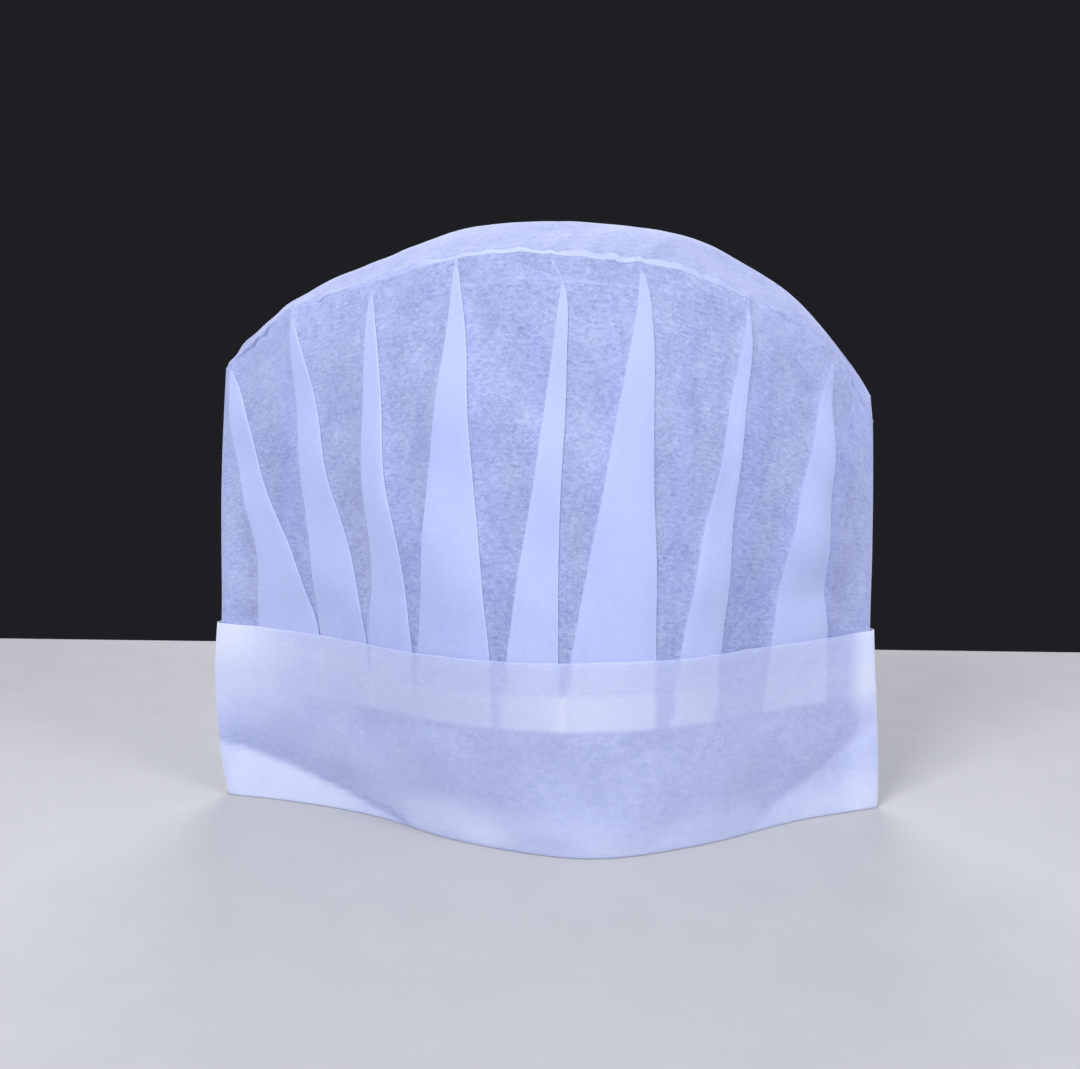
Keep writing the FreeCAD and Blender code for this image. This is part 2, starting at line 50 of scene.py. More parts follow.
# ------------------------------------------------------------------------------------------------------------------
# The soft sheets of the hat, in millimetres. The tables are the same ones the CAD part is built from.
# ------------------------------------------------------------------------------------------------------------------
FRONT_LOW = [
    (-0.956, 0.078), (-0.92, 0.086), (-0.85, 0.117), (-0.78, 0.155), (-0.711, 0.195), (-0.644, 0.239),
    (-0.576, 0.295), (-0.509, 0.353), (-0.444, 0.417), (-0.376, 0.518), (-0.307, 0.632), (-0.246, 0.704),
    (-0.187, 0.757), (-0.129, 0.798), (-0.072, 0.842), (-0.015, 0.879), (0.039, 0.917), (0.093, 0.940),
    (0.145, 0.946), (0.197, 0.928), (0.250, 0.894), (0.303, 0.847), (0.359, 0.790), (0.414, 0.736),
    (0.471, 0.674), (0.528, 0.603), (0.590, 0.508), (0.652, 0.407), (0.716, 0.321), (0.780, 0.248),
    (0.843, 0.190), (0.907, 0.135), (0.958, 0.085),
]
FRONT_TOP = [
    (-0.956, 0.080), (-0.92, 0.098), (-0.862, 0.134), (-0.756, 0.228), (-0.652, 0.339), (-0.560, 0.474),
    (-0.470, 0.608), (-0.400, 0.708), (-0.329, 0.803), (-0.270, 0.862), (-0.219, 0.912), (-0.150, 0.960),
    (-0.099, 0.987), (0.0, 1.0), (0.068, 1.0), (0.140, 0.985), (0.217, 0.964), (0.290, 0.929), (0.344, 0.896),
    (0.390, 0.860), (0.437, 0.818), (0.480, 0.765), (0.511, 0.708), (0.580, 0.610), (0.655, 0.513),
    (0.740, 0.398), (0.825, 0.285), (0.890, 0.190), (0.930, 0.132), (0.958, 0.090),
]
PLACES = [-1, -1, -0.987, -0.956, -0.90, -0.83, -0.74, -0.64, -0.53, -0.42, -0.31, -0.19, -0.065,
          0.065, 0.19, 0.31, 0.42, 0.53, 0.64, 0.74, 0.83, 0.90, 0.956, 0.987, 1, 1]
RIDGE = [
    (-1.0, 0.775), (-0.946, 0.802), (-0.893, 0.827), (-0.839, 0.854), (-0.787, 0.877), (-0.735, 0.890),
    (-0.683, 0.905), (-0.632, 0.916), (-0.581, 0.926), (-0.530, 0.9355), (-0.480, 0.947), (-0.430, 0.9566),
    (-0.379, 0.9675), (-0.329, 0.977), (-0.279, 0.987), (-0.229, 0.9916), (-0.180, 0.996), (-0.130, 0.9975),
    (-0.080, 0.999), (0.0, 1.0), (0.067, 0.9995), (0.115, 0.998), (0.163, 0.996), (0.212, 0.994), (0.261, 0.992),
    (0.309, 0.9886), (0.357, 0.9836), (0.406, 0.9785), (0.453, 0.972), (0.502, 0.962), (0.551, 0.9473),
    (0.599, 0.933), (0.647, 0.9166), (0.696, 0.9035), (0.745, 0.884), (0.795, 0.858), (0.845, 0.8285),
    (0.895, 0.799), (0.946, 0.766), (0.975, 0.742), (1.0, 0.7165),
]
RIM = [
    (-1.0, 0.763), (-0.865, 0.8125), (-0.742, 0.8513), (-0.616, 0.8715), (-0.486, 0.891), (-0.357, 0.9094),
    (-0.225, 0.926), (-0.089, 0.935), (0.034, 0.931), (0.156, 0.9242), (0.278, 0.9174), (0.444, 0.8985),
    (0.582, 0.866), (0.663, 0.8454), (0.741, 0.824), (0.827, 0.7927), (0.911, 0.7523), (0.96, 0.716), (1.0, 0.674),
]
CREASE_LEFT = [(0.0, 0.998), (0.12, 0.991), (0.3, 0.9895), (0.5, 0.9812), (0.7, 0.972), (0.85, 0.9597), (1.0, 0.949)]
CREASE_RIGHT = [(0.0, 0.957), (0.12, 0.9542), (0.3, 0.955), (0.5, 0.951), (0.7, 0.948), (0.85, 0.9445), (1.0, 0.9385)]
WALL_STEPS = [0.0, 0.10, 0.28, 0.50, 0.74, 1.0]
CAP_STEPS = [0.0, 0.3, 0.66, 1.0]
RIM_ENDS = (0.949, 0.9385)
RIDGE_ENDS = (0.941, 0.9295)
CL, CR, H, TIP, FRONT_BULGE, BACK_BULGE = 136.4, 139.75, 75.0, 2.0, 61.4, 58.6
RIDGE_Z, RIM_DEPTH, RAW_Z, INNER_Z = 237.4, 42.0, 49.0, 63.0
LEFT = [CL + d for d in (0.0, 3.55, 4.6, 1.2)]
RIGHT = [CR + d for d in (0.0, 0.3, -3.0, -4.5)]
N = len(PLACES)

# The eight knife pleats as seen from the front: the line of the left edge and of the right edge, as (x, z).
PLEATS = [
    ([(-117.1, 75.0), (-116.3, 103.1), (-123.0, 135.9), (-127.0, 162.6), (-127.6, 181.5)],
     [(-88.4, 77.6), (-98.2, 104.3), (-112.7, 136.4), (-118.8, 162.8), (-127.2, 181.6)]),
    ([(-88.0, 77.3), (-89.6, 105.2), (-93.7, 137.1), (-94.7, 162.7), (-95.4, 201.0)],
     [(-66.1, 76.2), (-72.5, 106.8), (-81.3, 137.8), (-85.8, 162.9), (-90.8, 188.0), (-95.1, 201.2)]),
    ([(-64.6, 76.5), (-63.8, 107.9), (-65.6, 138.4), (-65.4, 163.0), (-64.2, 187.0), (-62.3, 210.8)],
     [(-46.4, 75.6), (-50.9, 108.9), (-56.2, 138.7), (-57.5, 163.1), (-59.1, 187.0), (-61.9, 210.9)]),
    ([(-43.7, 75.0), (-41.5, 109.7), (-39.3, 139.4), (-36.2, 163.0), (-33.0, 186.5), (-29.3, 219.3)],
     [(-16.5, 76.0), (-19.9, 111.1), (-22.8, 139.8), (-24.3, 163.1), (-25.3, 186.4), (-28.9, 219.4)]),
    ([(-10.0, 75.3), (-5.1, 111.5), (-0.3, 140.1), (2.8, 163.2), (5.9, 186.3), (8.0, 203.4), (8.6, 207.5), (4.6, 217.5)],
     [(8.1, 75.7), (8.1, 111.6), (8.9, 140.1), (10.2, 163.2), (10.6, 186.0), (10.6, 203.2), (10.0, 207.5), (5.2, 218.3)]),
    ([(12.9, 75.7), (19.3, 111.6), (24.7, 140.0), (28.8, 163.2), (33.1, 186.4), (34.7, 194.1), (36.2, 205.7), (36.5, 215.7)],
     [(43.1, 75.3), (42.6, 111.1), (41.7, 139.8), (41.2, 163.3), (41.0, 194.0), (39.7, 205.9), (36.9, 215.7)]),
    ([(52.3, 77.2), (58.5, 110.4), (65.5, 139.3), (69.7, 163.2), (73.8, 186.8), (76.4, 203.9)],
     [(67.7, 76.2), (70.9, 109.5), (73.7, 139.1), (76.0, 163.1), (77.4, 187.2), (76.9, 204.2)]),
    ([(88.2, 76.4), (93.6, 107.5), (100.5, 138.1), (105.4, 162.8), (111.9, 184.5)],
     [(112.6, 76.3), (111.1, 106.1), (112.5, 137.5), (112.1, 163.0), (112.5, 184.5)]),
]


def along(table, s):
    a = np.array(table)
    return np.interp(s, a[:, 0], a[:, 1])


def curve(z, zs, xs):
    """A smooth line through the points, with straight ends."""
    zs, xs = np.array(zs, float), np.array(xs, float)
    m = np.zeros(len(zs))
    d = np.diff(xs) / np.diff(zs)
    m[0], m[-1] = d[0], d[-1]
    m[1:-1] = (d[:-1] * np.diff(zs)[1:] + d[1:] * np.diff(zs)[:-1]) / (zs[2:] - zs[:-2])
    z = np.asarray(z, float)
    i = np.clip(np.searchsorted(zs, z) - 1, 0, len(zs) - 2)
    h = zs[i + 1] - zs[i]
    t = np.clip((z - zs[i]) / h, 0, 1)
    return ((2 * t ** 3 - 3 * t ** 2 + 1) * xs[i] + (t ** 3 - 2 * t ** 2 + t) * h * m[i]
            + (-2 * t ** 3 + 3 * t ** 2) * xs[i + 1] + (t ** 3 - t ** 2) * h * m[i + 1])


def smooth(a, b, x):
    t = np.clip((np.asarray(x, float) - a) / (b - a), 0.0, 1.0)
    return t * t * (3 - 2 * t)


def plan_row(side, left, right, share, z):
    out = []
    for j, s in enumerate(PLACES):
        x = s * (left if s < 0 else right)
        if j in (0, N - 1):
            y = 0.0
        elif j in (1, N - 2):
            y = TIP
        elif j in (2, N - 3):
            y = TIP * 1.75
        else:
            if side < 0:
                y = (along(FRONT_LOW, s) * (1 - share) + along(FRONT_TOP, s) * share) * FRONT_BULGE
            else:
                y = (1 - s * s) ** 1.3 * BACK_BULGE
            y = max(y, TIP * (2.3 if j in (3, N - 4) else 2.6))
        out.append((x, side * y, z))
    return np.array(out)


def inset(row, side, by):
    out = row.copy()
    for j in range(N):
        a = np.array([row[1, 0], -row[1, 1]]) if j == 0 else row[j - 1, :2]
        b = np.array([row[N - 2, 0], -row[N - 2, 1]]) if j == N - 1 else row[j + 1, :2]
        p = row[j, :2]
        d1 = (p - a) / np.linalg.norm(p - a)
        d2 = (b - p) / np.linalg.norm(b - p)
        n1 = np.array([d1[1], -d1[0]]) * side
        n2 = np.array([d2[1], -d2[0]]) * side
        n = n1 + n2
        n /= np.linalg.norm(n)
        q = p + n * by / max(0.6, n @ n1)
        if j in (0, N - 1):
            q[1] = 0.0
        out[j, :2] = q
    return out


def basis(n, d, u):
    inner = n - d - 1
    kn = np.concatenate([[0] * (d + 1), np.arange(1, inner + 1), [inner + 1] * (d + 1)]).astype(float)
    u = np.clip(np.atleast_1d(u), 0, inner + 1 - 1e-9)
    b = np.zeros((len(u), n + d))
    for i in range(n + d):
        b[:, i] = (u >= kn[i]) & (u < kn[i + 1])
    for k in range(1, d + 1):
        c = np.zeros((len(u), n + d - k))
        for i in range(n + d - k):
            t = 0
            if kn[i + k] > kn[i]:
                t = t + (u - kn[i]) / (kn[i + k] - kn[i]) * b[:, i]
            if kn[i + k + 1] > kn[i + 1]:
                t = t + (kn[i + k + 1] - u) / (kn[i + k + 1] - kn[i + 1]) * b[:, i + 1]
            c[:, i] = t
        b = c
    return b


DENSE = 900
BU = basis(N, 3, np.linspace(0, N - 3, DENSE))


def band_levels(side, by):
    return np.array([inset(plan_row(side, LEFT[k], RIGHT[k], k / 3.0, H * k / 3.0), side, by) for k in range(4)])


def bez(levels, v):
    return levels[0] * (1 - v) ** 3 + 3 * levels[1] * v * (1 - v) ** 2 + 3 * levels[2] * v * v * (1 - v) + levels[3] * v ** 3


def crown_nets(side, by=1.55):
    base = bez(band_levels(side, by), 1.0)
    rim, ridge = [], []
    for j, s in enumerate(PLACES):
        d = RIM_DEPTH * max(0.0, 1 - abs(s) ** 2.2)
        if j in (0, N - 1):
            d = 0.0
        elif j in (1, N - 2):
            d = 1.2
        elif j in (2, N - 3):
            d = 2.4
        rim.append((s * (CL * RIM_ENDS[0] if s < 0 else CR * RIM_ENDS[1]), side * d, along(RIM, s) * RIDGE_Z))
        ridge.append((s * (CL * RIDGE_ENDS[0] if s < 0 else CR * RIDGE_ENDS[1]), 0.0, along(RIDGE, s) * RIDGE_Z))
    rim, ridge = np.array(rim), np.array(ridge)
    wall = []
    for f in WALL_STEPS:
        row = []
        for j, s in enumerate(PLACES):
            b, r = base[j], rim[j]
            tx = s * (CL * along(CREASE_LEFT, f) if s < 0 else CR * along(CREASE_RIGHT, f))
            x = b[0] if f == 0 else (tx if f < 1 else r[0])
            bulge = 3.0 * math.sin(math.pi * f) * (1 - abs(s)) ** 0.3 if abs(s) < 1 else 0.0
            y = b[1] * (1 - f) + r[1] * f + side * bulge
            row.append((x, 0.0 if j in (0, N - 1) else y, b[2] * (1 - f) + r[2] * f))
        wall.append(row)
    cap = []
    for f in CAP_STEPS:
        lift = 2.2 * math.sin(math.pi * f) * (1 - np.array(PLACES, float) ** 2)
        row = rim * (1 - f) + ridge * f
        row[:, 2] += lift
        cap.append(row)
    return np.array(wall), np.array(cap)


def waves(seed, count, short, long_, dims=2):
    """Smooth seeded noise as a sum of waves between two wavelengths; about -1..1."""
    r = np.random.default_rng(seed)
    lam = np.exp(r.uniform(math.log(short), math.log(long_), count))
    ang = r.uniform(0, 2 * math.pi, count)
    ph = r.uniform(0, 2 * math.pi, count)
    amp = np.sqrt(2.0 / count)

    def f(x, y, squash=1.0):
        x, y = np.asarray(x, float), np.asarray(y, float) * squash
        out = np.zeros(np.broadcast(x, y).shape)
        for k in range(count):
            out = out + np.sin(2 * math.pi * (x * math.cos(ang[k]) + y * math.sin(ang[k])) / lam[k] + ph[k])
        return out * amp

    return f


# ------------------------------------------------------------------------------------------------------------------
# Mesh helpers
# ------------------------------------------------------------------------------------------------------------------
def thicken(points, faces, uvs, half, extra=None):
    """A closed sheet from a middle surface: points (n,3) mm, faces as lists of indices, uvs per face corner.
    half is half the thickness at every point. Open edges are closed with a narrow strip."""
    n = len(points)
    normal = np.zeros((n, 3))
    for size in (3, 4):
        idx = np.array([f for f in faces if len(f) == size], int)
        if not len(idx):
            continue
        p = points[idx]
        if size == 4:
            fn = np.cross(p[:, 2] - p[:, 0], p[:, 3] - p[:, 1])
        else:
            fn = np.cross(p[:, 1] - p[:, 0], p[:, 2] - p[:, 0])
        for k in range(size):
            np.add.at(normal, idx[:, k], fn)
    length = np.linalg.norm(normal, axis=1)
    normal /= np.maximum(length, 1e-12)[:, None]
    half = np.broadcast_to(half, n)[:, None]
    pts = np.vstack([points + normal * half, points - normal * half])
    out_f = [list(f) for f in faces]
    out_uv = [list(u) for u in uvs]
    tags = list(extra) if extra is not None else [0.0] * len(faces)
    out_t = list(tags)
    for f, u, t in zip(faces, uvs, tags):
        out_f.append([i + n for i in reversed(f)])
        out_uv.append(list(reversed(u)))
        out_t.append(t)
    seen = {}
    for k, f in enumerate(faces):
        for a in range(len(f)):
            e = (f[a], f[(a + 1) % len(f)])
            seen[e] = (k, a)
    for (a, b), (k, i) in seen.items():
        if (b, a) not in seen:
            ua, ub = uvs[k][i], uvs[k][(i + 1) % len(faces[k])]
            out_f.append([b, a, a + n, b + n])
            out_uv.append([ub, ua, ua, ub])
            out_t.append(tags[k])
    return pts, out_f, out_uv, out_t


def mesh_object(name, pts, faces, uvs, tags=None, flat_angle=55.0, scale=MM, per_point=None):
    me = bpy.data.meshes.new(name)
    me.from_pydata((np.asarray(pts) * scale).tolist(), [], faces)
    layer = me.uv_layers.new(name="mm")
    flat = np.array([c for u in uvs for c in u], np.float32).reshape(-1)
    layer.data.foreach_set("uv", flat)
    if tags is not None:
        at = me.attributes.new("plies", "FLOAT", "FACE")
        at.data.foreach_set("value", np.array(tags, np.float32))
    if per_point is not None:
        at = me.attributes.new("plies", "FLOAT", "POINT")
        at.data.foreach_set("value", np.array(per_point, np.float32))
    me.validate()
    me.polygons.foreach_set("use_smooth", [True] * len(me.polygons))
    me.set_sharp_from_angle(angle=math.radians(flat_angle))
    me.update()
    o = bpy.data.objects.new(name, me)
    bpy.context.collection.objects.link(o)
    return o


def grid_faces(index, u_at, v_at, wrap=False):
    """Quads over a grid of vertex indices (rows, columns); uv in mm from u_at/v_at arrays of the same shape."""
    rows, cols = index.shape
    faces, uvs = [], []
    for r in range(rows - 1):
        for c in range(cols - 1):
            faces.append([index[r, c], index[r, c + 1], index[r + 1, c + 1], index[r + 1, c]])
            uvs.append([(u_at[r, c], v_at[r, c]), (u_at[r, c + 1], v_at[r, c + 1]),
                        (u_at[r + 1, c + 1], v_at[r + 1, c + 1]), (u_at[r + 1, c], v_at[r + 1, c])])
    return faces, uvs


# ------------------------------------------------------------------------------------------------------------------
# Crown: one sheet, wall and cap, with eight real three-ply knife pleats on each half
# ------------------------------------------------------------------------------------------------------------------
PLY = 0.26          # cloth as drawn, between the faces
STEP = 0.35         # from ply to ply in a pleat
SINK = -0.16        # middle of the lowest ply, from the outside of the CAD sheet

TUCK_Z = [49.0, 53.5, 58.0, 62.5, 67.0, 71.5]
wall_f = list(np.linspace(0.0, 0.955, 50)) + [0.966, 0.976, 0.985, 0.993, 1.0]
cap_f = [0.018, 0.04, 0.07, 0.11, 0.17, 0.25, 0.34, 0.44, 0.55, 0.66, 0.77, 0.87, 0.94, 0.975, 1.0]


def invert(steps, targets):
    d = 3
    top = len(steps) - d
    v = np.linspace(0, top, 4000)
    f = basis(len(steps), d, v) @ np.array(steps)
    return np.interp(targets, f, v)


WALL_V = invert(WALL_STEPS, wall_f)
CAP_V = invert(CAP_STEPS, cap_f)
N_TUCK, N_WALL, N_CAP = len(TUCK_Z), len(wall_f), len(cap_f)
ROWS = N_TUCK + N_WALL + N_CAP
RIM_ROW = N_TUCK + N_WALL - 1


def half_surface(side):
    wall, cap = crown_nets(side)
    band = band_levels(side, 1.55)
    rows = [BU @ bez(band, z / H) for z in TUCK_Z]
    bw = basis(len(WALL_STEPS), 3, WALL_V)
    rows += [BU @ np.einsum("k,kjc->jc", bw[i], wall) for i in range(N_WALL)]
    bc = basis(len(CAP_STEPS), 3, CAP_V)
    rows += [BU @ np.einsum("k,kjc->jc", bc[i], cap) for i in range(N_CAP)]
    g = np.array(rows)
    lo, hi = RIM_ROW - 4, RIM_ROW + 4
    for _ in range(4):  # a soft fold at the rim rather than a knife edge
        s = g.copy()
        s[lo:hi + 1] = (g[lo - 1:hi] + 2 * g[lo:hi + 1] + g[lo + 1:hi + 2]) / 4
        g = s
    ridge_y = smooth(0.0, 7.0, np.abs(g[RIM_ROW + 1:, :, 1]))
    g[RIM_ROW + 1:, :, 2] -= 0.9 * (1 - ridge_y)
    return g


GRID = {-1: half_surface(-1), 1: half_surface(1)}


def edge_keys():
    """Where each pleat edge crosses each row of the front half, as x, and the row where the pleat has run out."""
    g = GRID[-1]
    keys = np.zeros((8, 2, ROWS))
    last = []
    for p, (left, right) in enumerate(PLEATS):
        for e, line in enumerate((left, right)):
            a = np.array(line)
            for r in range(RIM_ROW + 1):
                x, z = g[r, :, 0], g[r, :, 2]
                slope = (a[1, 0] - a[0, 0]) / (a[1, 1] - a[0, 1])
                xe = curve(z, a[:, 1], a[:, 0])
                xe = np.where(z < a[0, 1], a[0, 0] + (z - a[0, 1]) * slope * 0.5, xe)
                i = int(np.argmax(x - xe >= 0))
                keys[p, e, r] = xe[max(i, 1)]
            keys[p, e, RIM_ROW + 1:] = keys[p, e, RIM_ROW]
        top = min(left[-1][1], right[-1][1])
        x_top = left[-1][0]
        z_rows = [np.interp(x_top, g[r, 40:-40, 0], g[r, 40:-40, 2]) for r in range(RIM_ROW + 1)]
        r_top = int(np.searchsorted(z_rows, top - 0.2))
        last.append(min(r_top, RIM_ROW))
    return keys, last


KEYS, LAST = edge_keys()


def straightened():
    """The same edges drawn nearly straight from the band to the pleat's end, for the half that faces away."""
    out = KEYS.copy()
    z = GRID[1][:, DENSE // 2, 2]
    for p in range(8):
        lo, hi = N_TUCK, LAST[p]
        f = np.clip((z[lo:hi + 1] - z[lo]) / (z[hi] - z[lo]), 0, 1)
        for e in (0, 1):
            line = KEYS[p, e, lo] * (1 - f) + KEYS[p, e, hi] * f
            out[p, e, lo:hi + 1] = 0.28 * KEYS[p, e, lo:hi + 1] + 0.72 * line
    return out


BACK_KEYS = straightened()
REGION_COLS = [8, 13, 13, 13, 14, 13, 16, 15, 10]
N_A, N_NOSE, N_B, N_C = 5, 3, 5, 5
PLEAT_KEYS = {-1: np.zeros((8, 2, ROWS)), 1: np.zeros((8, 2, ROWS))}
RAMP_SHARES = (0.0, 0.34, 0.67)

gap_wave = {-1: waves(11, 9, 38.0, 110.0), 1: waves(12, 9, 38.0, 110.0)}
fold_wave = {-1: waves(21, 10, 7.0, 16.0), 1: waves(22, 10, 7.0, 16.0)}
rim_wave = {-1: waves(31, 12, 4.2, 9.0), 1: waves(32, 12, 4.2, 9.0)}
cap_wave = {-1: waves(41, 8, 14.0, 40.0), 1: waves(42, 8, 14.0, 40.0)}
edge_wave = waves(51, 8, 30.0, 90.0)
ridge_wave = waves(61, 8, 24.0, 90.0)


def crown_half(side):
    """Slots of one half in the order the cloth runs: front from the left crease to the right, back the other way."""
    g = GRID[side]
    if side > 0:
        g = g[:, ::-1]
    key_sign = 1.0 if side < 0 else -1.0
    du = np.gradient(g, axis=1)
    dv = np.gradient(g, axis=0)
    nor = np.cross(du, dv)
    if side > 0:
        pass
    nor /= np.maximum(np.linalg.norm(nor, axis=2), 1e-9)[..., None]
    # the path runs the same way round the hat on both halves, so the outside is always on the same hand
    slots = {"sigma": [], "off": [], "share": [], "kind": [], "width": []}
    height = np.zeros(ROWS)
    step = np.linalg.norm(np.diff(g, axis=0), axis=2).mean(1)
    height[1:] = np.cumsum(step)
    height += RAW_Z
    for r in range(ROWS):
        row = g[r]
        s = np.concatenate([[0.0], np.cumsum(np.linalg.norm(np.diff(row, axis=0), axis=1))])
        key = row[:, 0] * key_sign
        total = s[-1]

        def at_key(k):
            i = int(np.argmax(key[30:-30] >= k)) + 30
            a, b = key[i - 1], key[i]
            t = 0.0 if b == a else np.clip((k - a) / (b - a), 0, 1)
            return s[i - 1] + (s[i] - s[i - 1]) * t

        rr = min(r, RIM_ROW)
        frac = smooth(0.15, 0.9, (rr - N_TUCK) / (N_WALL - 1.0))
        edges = []
        for p in range(8):
            kl, kr = KEYS[p, 0, rr], KEYS[p, 1, rr]
            if side > 0:  # the same pleats seen from behind, each a little different
                kl, kr = BACK_KEYS[p, 0, rr], BACK_KEYS[p, 1, rr]
                q = (0.7 * edge_wave(p * 47.0, height[rr]) + 1.2 * math.sin(2.1 * p + 0.4)) * (1 - 0.6 * frac)
                w = 1.0 + 0.12 * math.sin(1.7 * p + 1.0)
                m = (kl + kr) / 2
                kl, kr = m + (kl - m) * w + q, m + (kr - m) * w + q
            PLEAT_KEYS[side][p, 0, r], PLEAT_KEYS[side][p, 1, r] = kl, kr
            if r > RIM_ROW:
                edges.append([0.0, 0.0, 0.0])
                continue
            a, b = at_key(kl), at_key(kr)
            if rr >= LAST[p]:
                a = b = (a + b) / 2
            edges.append([a, b, b - a])
        if r <= RIM_ROW:
            for p in range(1, 8):  # neighbours never overlap
                if edges[p][0] < edges[p - 1][1] + 1.4:
                    mid = (edges[p][0] + edges[p - 1][1]) / 2
                    edges[p - 1][1] = min(edges[p - 1][1], mid - 0.7)
                    edges[p][0] = max(edges[p][0], mid + 0.7)
                    for q in (p - 1, p):
                        edges[q][1] = max(edges[q][1], edges[q][0])
                        edges[q][2] = edges[q][1] - edges[q][0]
        sig, off, kind, wid = [0.0], [0.0], [0], [0.0]
        prev = 0.0
        for p in range(9):
            if p < 8:
                a, b, w = edges[p]
                s_w = float(np.clip(w / 4.0, 0, 1))
                # the tucks are pressed flat and stay stacked inside the band
                gap = max(a - prev, 0.0)
                ramp = min(2.6, 0.55 * gap) * (0.25 + 0.75 * s_w)
                end = a - ramp
            else:
                end, s_w, w = total, 0.0, 0.0
            n = REGION_COLS[p]
            span = end - prev
            for i in range(n):
                t = (i + 1) / (n + 1)
                sig.append(prev + span * t)
                off.append(0.0)
                kind.append(10 + p)
                wid.append(-math.sin(math.pi * t) * min(1.0, span / 24.0))
            if p == 8:
                break
            lift = 2 * STEP * s_w
            for k in RAMP_SHARES:
                sig.append(a - ramp * (1 - k))
                off.append(lift * float(smooth(0, 1, k)))
                kind.append(10 + p)
                wid.append(0.0)
            nose = STEP / 2 * s_w
            for i in range(N_A):
                sig.append(a + (b - a) * i / (N_A - 1))
                off.append(lift)
                kind.append(100 + p)
                wid.append(0.0)
            for i in range(N_NOSE):
                t = math.pi * (i + 1) / (N_NOSE + 1)
                sig.append(b + nose * math.sin(t))
                off.append(1.5 * STEP * s_w + nose * math.cos(t))
                kind.append(100 + p)
                wid.append(0.0)
            for i in range(N_B):
                sig.append(b - (b - a) * i / (N_B - 1))
                off.append(STEP * s_w)
                kind.append(200 + p)
                wid.append(0.0)
            for i in range(N_NOSE):
                t = math.pi * (i + 1) / (N_NOSE + 1)
                sig.append(a - nose * math.sin(t))
                off.append(0.5 * STEP * s_w + nose * math.cos(t))
                kind.append(200 + p)
                wid.append(0.0)
            for i in range(N_C):
                sig.append(a + (b - a) * i / (N_C - 1))
                off.append(0.0)
                kind.append(300 + p)
                wid.append(0.0)
            prev = b
        slots["sigma"].append(sig)
        slots["off"].append(off)
        slots["kind"].append(kind)
        slots["width"].append(wid)
        slots["share"].append([e[2] for e in edges])
    sig, off = np.array(slots["sigma"]), np.array(slots["off"])
    kind, hollow = np.array(slots["kind"][0]), np.array(slots["width"])
    per = N_A + N_NOSE + N_B + N_NOSE + N_C
    n_slots = sig.shape[1]
    first = []  # first slot of each pleat
    k = 1
    for p in range(8):
        k += REGION_COLS[p] + len(RAMP_SHARES)
        first.append(k)
        k += per
    # one vertex stands for all the slots of a pleat that has run out
    ident = np.tile(np.arange(n_slots), (ROWS, 1))
    for p in range(8):
        for r in range(ROWS):
            if r > RIM_ROW or r >= LAST[p] or slots["share"][r][p] < 0.02:
                ident[r, first[p]:first[p] + per] = first[p]
                off[r, first[p]:first[p] + per] = 0.0
                if r <= RIM_ROW:
                    sig[r, first[p] - len(RAMP_SHARES):first[p]] = np.minimum(
                        sig[r, first[p] - len(RAMP_SHARES):first[p]],
                        sig[r, first[p]] - np.array([0.9, 0.6, 0.3]))
    unique = np.array(sorted(set(ident[-1])))
    rim_total = np.linalg.norm(np.diff(g[RIM_ROW], axis=0), axis=1).sum()
    rim_share = sig[RIM_ROW, unique] / rim_total
    even = np.arange(len(unique)) / float(len(unique))
    for r in range(RIM_ROW + 1, ROWS):
        total = np.linalg.norm(np.diff(g[r], axis=0), axis=1).sum()
        w = float(smooth(0.0, 0.95, cap_f[r - RIM_ROW - 1]))
        if r == ROWS - 1:
            w = 1.0
        place = {u: total * (rim_share[i] * (1 - w) + even[i] * w) for i, u in enumerate(unique)}
        for c in range(n_slots):
            sig[r, c] = place[ident[r, c]]
            off[r, c] = 0.0
            hollow[r, c] = 0.0
    # positions
    pts = np.zeros((ROWS, n_slots, 3))
    for r in range(ROWS):
        row = g[r]
        s = np.concatenate([[0.0], np.cumsum(np.linalg.norm(np.diff(row, axis=0), axis=1))])
        total = s[-1]
        p = np.stack([np.interp(sig[r], s, row[:, c]) for c in range(3)], 1)
        q = np.stack([np.interp(sig[r], s, nor[r][:, c]) for c in range(3)], 1)
        q /= np.linalg.norm(q, axis=1)[:, None]
        ends = smooth(1.0, 16.0, sig[r]) * smooth(1.0, 16.0, total - sig[r])
        up = height[r]
        rise = float(smooth(H + 1.0, H + 22.0, p[:, 2].mean())) if r <= RIM_ROW else 1.0
        fade = 1.0 if r <= RIM_ROW else 1 - float(smooth(0.55, 1.0, cap_f[r - RIM_ROW - 1]))
        d = 0.75 * gap_wave[side](sig[r], up) * rise * fade
        d += 0.22 * fold_wave[side](sig[r], up, 0.18) * rise * fade
        d += 0.95 * hollow[r] * rise
        dist = abs(height[r] - height[RIM_ROW])
        d += 0.42 * rim_wave[side](sig[r], up, 0.35) * math.exp(-(dist / 4.0) ** 2)
        if r > RIM_ROW:
            d += 0.30 * cap_wave[side](sig[r] * 0.35, up * 1.0) * fade
        p = p + q * ((off[r] + SINK + d * ends)[:, None])
        if r > RIM_ROW:
            f = cap_f[r - RIM_ROW - 1]
            env = smooth(0.45, 1.0, f) * smooth(2.0, 30.0, sig[r]) * smooth(2.0, 30.0, total - sig[r])
            p[:, 1] += env * 1.1 * ridge_wave(p[:, 0], 0.0)
            p[:, 2] += env * 0.45 * ridge_wave(p[:, 0], 50.0)
        pts[r] = p
    return pts, ident, sig, kind, height, n_slots, off


